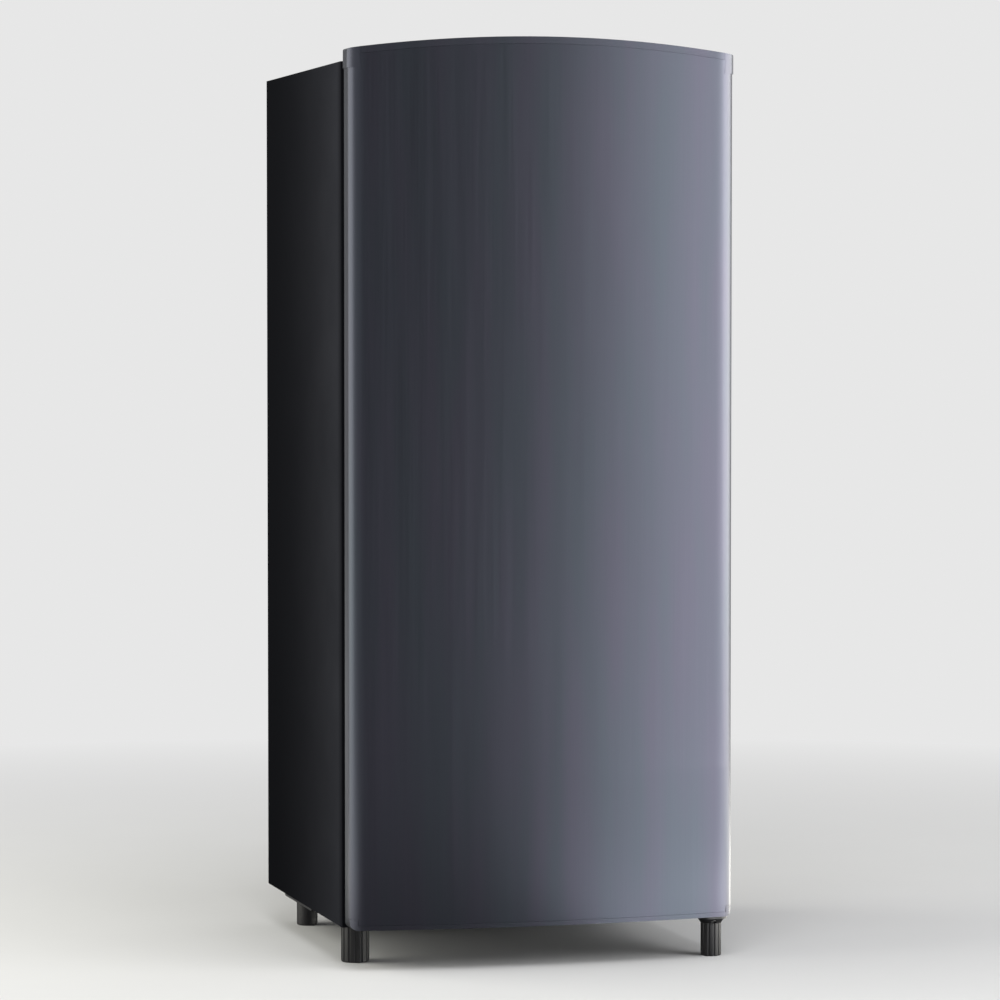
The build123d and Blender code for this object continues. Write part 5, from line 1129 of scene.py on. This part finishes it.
@dataclass
class DoorSkin(Ruled):
    """Bowed skin of the door, wrapped round both upright edges."""

    half_width: float = 259.5 * MM
    edge_front: float = -249.0 * MM
    rear: float = -211.0 * MM
    bulge: float = 22.0 * MM
    front_radius: float = 16.0 * MM
    rear_radius: float = 10.0 * MM
    back_return: float = 14.0 * MM
    bottom: float = 62.3 * MM
    corner_notch: float = 10.3 * MM
    corner_bottom: float = 70.3 * MM
    crown: float = 17.3 * MM
    top: float = 1197.5 * MM
    gauge: float = 0.8 * MM
    pocket_left: float = 211.2 * MM
    pocket_front: float = -234.8 * MM
    pocket_floor: float = 1170.7 * MM
    weld: float = 0.02 * MM
    bow_steps: int = 260
    corner_steps: int = 28

    def section(self, pattern: Pattern) -> object:
        """Right hand half of the skin's level section.

        Args:
            pattern: The tree it is drawn in.

        Returns:
            Socket of the curves, end to end.
        """
        half, rear, steps = pattern.size("Half Width"), pattern.size("Rear"), pattern.size("Corner Steps")
        front_round, rear_round = pattern.size("Front Radius"), pattern.size("Rear Radius")
        bow = bow_radius(half, pattern.size("Bulge"))
        bow_y = pattern.size("Edge Front") - pattern.size("Bulge") + bow
        round_x = half - front_round
        turn = (round_x / (bow - front_round)).angle()
        round_y = bow_y - ((bow - front_round) ** 2.0 - round_x * round_x).root()
        quarter = math.pi / 2
        return pattern.gather(
            pattern.arc((0.0, bow_y), bow, -quarter, turn, pattern.size("Bow Steps")),
            pattern.arc((round_x, round_y), front_round, turn - quarter, quarter - turn, steps),
            pattern.straight((half, round_y), (half, rear - rear_round), steps),
            pattern.arc((half - rear_round, rear - rear_round), rear_round, 0.0, quarter, steps),
            pattern.straight((half - rear_round, rear), (half - pattern.size("Back Return"), rear), steps),
        )

    def build(self) -> None:
        """Draw the section up to the arched top edge and give it its gauge."""
        pattern = self.pattern("door_skin_rule")
        half = pattern.size("Half Width")
        right = pattern.link("GeometryNodeCurveToMesh", self.section(pattern))
        left = pattern.link("GeometryNodeTransform", right, {}, {"Scale": (-1.0, 1.0, 1.0)})
        weld = {"Distance": pattern.size("Weld")}
        shape = pattern.link("GeometryNodeMergeByDistance", pattern.gather(right, left), {}, weld)
        up = {"Offset": pattern.vector(0.0, 0.0, 1.0), "Offset Scale": 1.0}
        shape = pattern.link("GeometryNodeExtrudeMesh", shape, {"mode": "EDGES"}, up)
        x, y, z = pattern.where()
        arch = bow_radius(half, pattern.size("Crown"))
        high = pattern.size("Top") - arch + (arch * arch - x * x).root()
        pocket = (x > pattern.size("Pocket Left")) * (y > pattern.size("Pocket Front"))
        high = high * (1.0 - pocket) + pattern.size("Pocket Floor") * pocket
        corner = abs(x) > half - pattern.size("Corner Notch")
        low = pattern.size("Bottom") * (1.0 - corner) + pattern.size("Corner Bottom") * corner
        place = pattern.vector(x, y, low + z * (high - low))
        shape = pattern.link("GeometryNodeSetPosition", shape, {}, {"Position": place})
        skin = pattern.bake("door_skin_wrap", shape, Slot.DOOR.material())
        turn_outward(skin)
        settle(skin, "SOLIDIFY", thickness=self.gauge, offset=-1.0)
        smooth(skin)
        enlist(skin, "door", Slot.DOOR.label, "door_skin")


@dataclass(frozen=True)
class EasedMoulding:
    """A copy of one CAD node whose sharp edges are eased."""

    node: str
    body: str
    slot: Slot
    radius: float
    turns: int = 2
    sharp: float = 32.0
    weld: float = 0.002 * MM
    flat: float = 0.4

    def shape(self, mesh: bmesh.types.BMesh) -> None:
        """Leave the copy's shape as it is."""

    def build(self) -> None:
        """Merge the copy's triangles into faces, round their edges and stand it in for the node."""
        mesh = bmesh.new()
        mesh.from_mesh(frame["nodes"][self.node].data)
        bmesh.ops.remove_doubles(mesh, verts=mesh.verts, dist=self.weld)
        flat = math.radians(self.flat)
        bmesh.ops.dissolve_limit(mesh, angle_limit=flat, verts=mesh.verts, edges=mesh.edges)
        self.shape(mesh)
        data = bpy.data.meshes.new(self.node + "_eased")
        mesh.to_mesh(data)
        mesh.free()
        data.materials.clear()
        data.materials.append(self.slot.material())
        piece = link_object(self.node + "_eased", data)
        settle(piece, "BEVEL", width=self.radius, segments=self.turns, limit_method="ANGLE",
               angle_limit=math.radians(self.sharp), use_clamp_overlap=True)
        smooth(piece)
        settle(piece, "WEIGHTED_NORMAL", keep_sharp=True)
        enlist(piece, self.body, self.slot.label, self.node)


@dataclass(frozen=True)
class EasedCap(EasedMoulding):
    """The door's top cap, whose ears rise out of the front's curve without a step."""

    ear_low: float = 1150.0 * MM
    corner_x: float = 243.5 * MM
    corner_y: float = -235.44 * MM
    corner_radius: float = 16.0 * MM
    reach: float = 0.3 * MM
    rise_power: float = 2.5

    def shape(self, mesh: bmesh.types.BMesh) -> None:
        """Let each ear's thickness grow from nothing at the front to its full size at the side.

        Args:
            mesh: The copy of the cap.
        """
        for vertex in mesh.verts:
            place = vertex.co
            across, ahead = abs(place.x) - self.corner_x, self.corner_y - place.y
            away = math.hypot(across, ahead)
            inside = away <= self.corner_radius + self.reach
            if place.z < self.ear_low or across < -self.reach or ahead <= 0.0 or inside:
                continue
            side = max(across / away, 0.0) ** self.rise_power
            share = (self.corner_radius + (away - self.corner_radius) * side) / away
            place.x = math.copysign(self.corner_x + across * share, place.x)
            place.y = self.corner_y - ahead * share


@dataclass
class Mouldings:
    """Moulded and ground pieces whose edges catch the light."""

    pieces: tuple[EasedMoulding, ...] = (
        EasedMoulding("shelf_upper", "cabinet", Slot.SHELF, 0.9 * MM),
        EasedMoulding("shelf_lower", "cabinet", Slot.SHELF, 0.9 * MM),
        EasedMoulding("crisper_cover", "cabinet", Slot.SHELF, 0.9 * MM),
        EasedMoulding("shelf_trims", "cabinet", Slot.WHITE, 0.9 * MM),
        EasedMoulding("freezer_frame", "cabinet", Slot.WHITE, 1.0 * MM),
        EasedMoulding("control_housing", "cabinet", Slot.WHITE, 0.8 * MM),
        EasedMoulding("lamp_cover", "cabinet", Slot.RESIN, 0.5 * MM),
        EasedMoulding("water_tray", "cabinet", Slot.BLACK, 0.8 * MM),
        EasedMoulding("relay_box", "cabinet", Slot.BLACK, 0.8 * MM),
        EasedMoulding("hinge_pins", "cabinet", Slot.BRACKET, 0.3 * MM),
        EasedMoulding("door_liner", "door", Slot.WHITE, 2.0 * MM),
        EasedMoulding("door_bottom_cap", "door", Slot.CAP, 0.25 * MM, flat=0.02),
        EasedCap("door_top_cap", "door", Slot.CAP, 0.8 * MM, flat=0.02),
        EasedMoulding("door_rack_upper", "door", Slot.RESIN, 0.7 * MM),
        EasedMoulding("door_rack_middle", "door", Slot.RESIN, 0.7 * MM),
        EasedMoulding("door_rack_bottle", "door", Slot.RESIN, 0.7 * MM),
        EasedMoulding("chiller_tray", "tray", Slot.RESIN, 0.7 * MM),
        EasedMoulding("crisper_drawer", "drawer", Slot.RESIN, 0.7 * MM),
    )

    def build(self) -> None:
        """Ease every piece."""
        for piece in self.pieces:
            piece.build()


@dataclass
class DoorGasket(Ruled):
    """Magnetic gasket with its folded bellows."""

    half_width: float = 233.5 * MM
    low: float = 80.0 * MM
    high: float = 1149.0 * MM
    middle: float = -206.5 * MM
    corner: float = 9.0 * MM
    lip: float = 6.0 * MM
    depth: float = 4.2 * MM
    fold: float = 0.3
    nearly_none: float = 0.000001
    around: int = 40
    corner_steps: int = 8

    def build(self) -> None:
        """Sweep the bellows' section round the door."""
        pattern = self.pattern("door_gasket_rule")
        high, low = pattern.size("High"), pattern.size("Low")
        sizes = {"Width": pattern.size("Half Width") * 2.0, "Height": high - low}
        path = pattern.add("GeometryNodeCurvePrimitiveQuadrilateral", {}, sizes).outputs[0]
        rounding = {"Radius": pattern.size("Corner"), "Count": pattern.size("Corner Steps")}
        path = pattern.link("GeometryNodeFilletCurve", path, {"mode": "POLY"}, rounding)
        ring = pattern.ring(1.0, pattern.size("Around"))
        x, y, _ = pattern.where()
        deep = y / (abs(y) + self.nearly_none) ** 0.5
        narrow = (0.5 - (deep * (2.0 * math.pi)).cosine() * 0.5) * pattern.size("Fold")
        wide = x / (abs(x) + self.nearly_none) ** 0.5 * (1.0 - narrow)
        place = pattern.vector(wide * pattern.size("Lip"), deep * pattern.size("Depth"), 0.0)
        ring = pattern.link("GeometryNodeSetPosition", ring, {}, {"Position": place})
        shape = pattern.link("GeometryNodeCurveToMesh", path, {}, {1: ring})
        middle = pattern.vector(0.0, pattern.size("Middle"), (high + low) * 0.5)
        turn = {"Rotation": (math.pi / 2.0, 0.0, 0.0), "Translation": middle}
        shape = pattern.link("GeometryNodeTransform", shape, {}, turn)
        gasket = pattern.bake("door_gasket_bellows", shape, Slot.GASKET.material())
        turn_outward(gasket)
        smooth(gasket, 50.0)
        enlist(gasket, "door", Slot.GASKET.label, "door_gasket")


@dataclass
class Bead(Ruled):
    """Round bead along a path with rounded corners."""

    name: str
    body: str
    slot: Slot
    points: tuple[Place, ...]
    radius: float
    corner: float
    flatten: float = 1.0
    corner_steps: int = 8
    around: int = 12

    def build(self) -> None:
        """Sweep the bead along its path, which has its corners in millimetres."""
        places = [Vector(point) * MM for point in self.points]
        base = bpy.data.meshes.new(self.name + "_path")
        base.from_pydata(places, [(here, here + 1) for here in range(len(places) - 1)], [])
        pattern = self.pattern(self.name + "_rule")
        path = pattern.link("GeometryNodeMeshToCurve", pattern.shape)
        rounding = {"Radius": pattern.size("Corner"), "Count": pattern.size("Corner Steps")}
        rounding["Limit Radius"] = True
        path = pattern.link("GeometryNodeFilletCurve", path, {"mode": "POLY"}, rounding)
        ring = pattern.ring(pattern.size("Radius"), pattern.size("Around"))
        squashed = {"Scale": pattern.vector(1.0, pattern.size("Flatten"), 1.0)}
        ring = pattern.link("GeometryNodeTransform", ring, {}, squashed)
        shape = pattern.link("GeometryNodeCurveToMesh", path, {}, {1: ring, "Fill Caps": True})
        bead = pattern.bake(self.name, shape, self.slot.material(), base)
        turn_outward(bead)
        smooth(bead, 50.0)
        enlist(bead, self.body, self.slot.label)


@dataclass
class Rims:
    """Beads on the rims of the drawer and the door's racks, and the freezer box's channels."""

    rack_half: float = 181.9
    rack_back: float = -208.5
    drawer_half: float = 199.25
    drawer_front: float = -92.75
    drawer_back: float = 29.75
    drawer_top: float = 277.3
    scoop_half: float = 48.0
    channel_half: float = 170.0
    channel_front: float = -58.0
    channel_pitch: float = 22.0
    channel_runs: int = 11
    channel_levels: tuple[float, ...] = (981.6, 1113.4)
    rack_rims: tuple[tuple[str, float, float], ...] = (
        ("rack_upper_rim", -150.1, 967.0),
        ("rack_middle_rim", -124.1, 692.0),
        ("rack_bottle_rim", -116.1, 251.0),
    )

    def rack(self, name: str, front: float, level: float) -> Bead:
        """Bead on three sides of one rack's rim.

        Args:
            name: The rim's name.
            front: Where its front runs, in millimetres along y.
            level: Its height, in millimetres.

        Returns:
            The bead.
        """
        half, back = self.rack_half, self.rack_back
        path = ((-half, back, level), (-half, front, level), (half, front, level), (half, back, level))
        return Bead(name, "door", Slot.RESIN, path, 1.7 * MM, 19.0 * MM)

    def drawer(self) -> Bead:
        """Bead on the drawer's rim, from one side of its scoop round to the other.

        Returns:
            The bead.
        """
        half, front, back = self.drawer_half, self.drawer_front, self.drawer_back
        level, scoop = self.drawer_top, self.scoop_half
        path = ((scoop, front, level), (half, front, level), (half, back, level), (-half, back, level))
        path += ((-half, front, level), (-scoop, front, level))
        return Bead("crisper_rim", "drawer", Slot.RESIN, path, 1.6 * MM, 11.0 * MM)

    def channel(self, name: str, level: float) -> Bead:
        """Raised channel that winds over one sheet of the freezer box.

        Args:
            name: The channel's name.
            level: Height of the sheet, in millimetres.

        Returns:
            The bead.
        """
        path = []
        for run in range(self.channel_runs):
            y = self.channel_front + run * self.channel_pitch
            ends = (-self.channel_half, self.channel_half)
            path += [(x, y, level) for x in (ends if run % 2 == 0 else ends[::-1])]
        return Bead(name, "cabinet", Slot.EVAPORATOR, tuple(path), 4.0 * MM, 10.9 * MM, flatten=0.3)

    def build(self) -> None:
        """Lay every bead."""
        for rim in self.rack_rims:
            self.rack(*rim).build()
        self.drawer().build()
        for number, level in enumerate(self.channel_levels, 1):
            self.channel(f"evaporator_channel_{number}", level).build()


@dataclass
class DialScale(Ruled):
    """Raised scale marks round the thermostat's knob, longer toward the cold end."""

    face: float = 182.5 * MM
    middle_y: float = 30.0 * MM
    middle_z: float = 832.0 * MM
    inner: float = 22.6 * MM
    shortest: float = 1.4 * MM
    longest: float = 3.9 * MM
    width: float = 1.0 * MM
    proud: float = 0.35 * MM
    first: float = math.radians(-30.0)
    turn: float = math.radians(240.0)
    marks: int = 13
    edge: float = 0.12 * MM

    def build(self) -> None:
        """Set the marks on an arc and ease their edges."""
        pattern = self.pattern("dial_scale_rule")
        index = pattern.signal("GeometryNodeInputIndex", {}, {})
        share = index / (pattern.size("Marks") - 1.0)
        angle = pattern.size("First") + share * pattern.size("Turn")
        length = pattern.size("Shortest") + share * (pattern.size("Longest") - pattern.size("Shortest"))
        away = pattern.size("Inner") + length * 0.5
        y = pattern.size("Middle Y") + angle.cosine() * away
        z = pattern.size("Middle Z") + angle.sine() * away
        row = pattern.add("GeometryNodeMeshLine", {}, {"Count": pattern.size("Marks")}).outputs[0]
        place = {"Position": pattern.vector(pattern.size("Face"), y, z)}
        row = pattern.link("GeometryNodeSetPosition", row, {}, place)
        mark = pattern.add("GeometryNodeMeshCube", {}, {"Size": (1.0, 1.0, 1.0)}).outputs[0]
        size = pattern.vector(pattern.size("Proud") * 2.0, length, pattern.size("Width"))
        turned = {"Instance": mark, "Rotation": pattern.vector(angle), "Scale": size}
        marks = pattern.link("GeometryNodeInstanceOnPoints", row, {}, turned)
        scale = pattern.bake("dial_scale", marks, Slot.GREY.material())
        settle(scale, "BEVEL", width=self.edge, segments=2)
        smooth(scale)
        enlist(scale, "cabinet", Slot.GREY.label)


@dataclass
class LampRibs(Ruled):
    """Half round ribs that spread the light of the lamp's cover."""

    face: float = 180.6 * MM
    middle_y: float = -34.0 * MM
    lowest: float = 807.0 * MM
    half: float = 24.0 * MM
    pitch: float = 3.84 * MM
    radius: float = 1.0 * MM
    count: int = 14
    around: int = 12

    def build(self) -> None:
        """Repeat one rib up the cover."""
        pattern = self.pattern("lamp_ribs_rule")
        half = pattern.size("Half")
        ends = {"Start": (0.0, 0.0, 0.0), "End": pattern.vector(0.0, half * 2.0, 0.0)}
        line = pattern.add("GeometryNodeCurvePrimitiveLine", {}, ends).outputs[0]
        ring = pattern.ring(pattern.size("Radius"), pattern.size("Around"))
        rib = pattern.link("GeometryNodeCurveToMesh", line, {}, {1: ring, "Fill Caps": True})
        first = pattern.vector(pattern.size("Face"), pattern.size("Middle Y") - half, pattern.size("Lowest"))
        step = {"Count": pattern.size("Count"), "Start Location": first}
        step["Offset"] = pattern.vector(0.0, 0.0, pattern.size("Pitch"))
        row = pattern.add("GeometryNodeMeshLine", {}, step).outputs[0]
        ribs = pattern.link("GeometryNodeInstanceOnPoints", row, {}, {"Instance": rib})
        piece = pattern.bake("lamp_cover_ribs", ribs, Slot.RESIN.material())
        smooth(piece, 50.0)
        enlist(piece, "cabinet", Slot.RESIN.label)


@dataclass
class WeldBead(Ruled):
    """Rippled weld round the seam of the compressor's shell."""

    middle: Place = (45.0 * MM, 163.5 * MM, 126.5 * MM)
    half_length: float = 94.6 * MM
    half_width: float = 75.6 * MM
    radius: float = 1.7 * MM
    ripple: float = 0.16
    ripple_angle: float = math.radians(72.0)
    steps: int = 300
    around: int = 10

    def build(self) -> None:
        """Sweep the bead round the oval seam."""
        pattern = self.pattern("weld_bead_rule")
        path = pattern.ring(1.0, pattern.size("Steps"))
        oval = pattern.vector(pattern.size("Half Length"), pattern.size("Half Width"), 1.0)
        place = {"Translation": pattern.size("Middle"), "Scale": oval}
        path = pattern.link("GeometryNodeTransform", path, {}, place)
        ring = pattern.ring(pattern.size("Radius"), pattern.size("Around"))
        index = pattern.signal("GeometryNodeInputIndex", {}, {})
        swell = (index * pattern.size("Ripple Angle")).sine() * pattern.size("Ripple") + 1.0
        bead = pattern.link("GeometryNodeCurveToMesh", path, {}, {1: ring, "Scale": swell})
        piece = pattern.bake("compressor_weld_bead", bead, Slot.ENAMEL.material())
        turn_outward(piece)
        smooth(piece, 60.0)
        enlist(piece, "cabinet", Slot.ENAMEL.label)


def main() -> None:
    """Build the studio, then every sub-assembly in order."""
    logging.basicConfig(level=logging.INFO, format="%(message)s")
    for part in (Studio, CarriedNodes, DoorSkin, DoorGasket, Mouldings, Rims, DialScale, LampRibs, WeldBead):
        part().build()


if __name__ == "__main__":
    main()
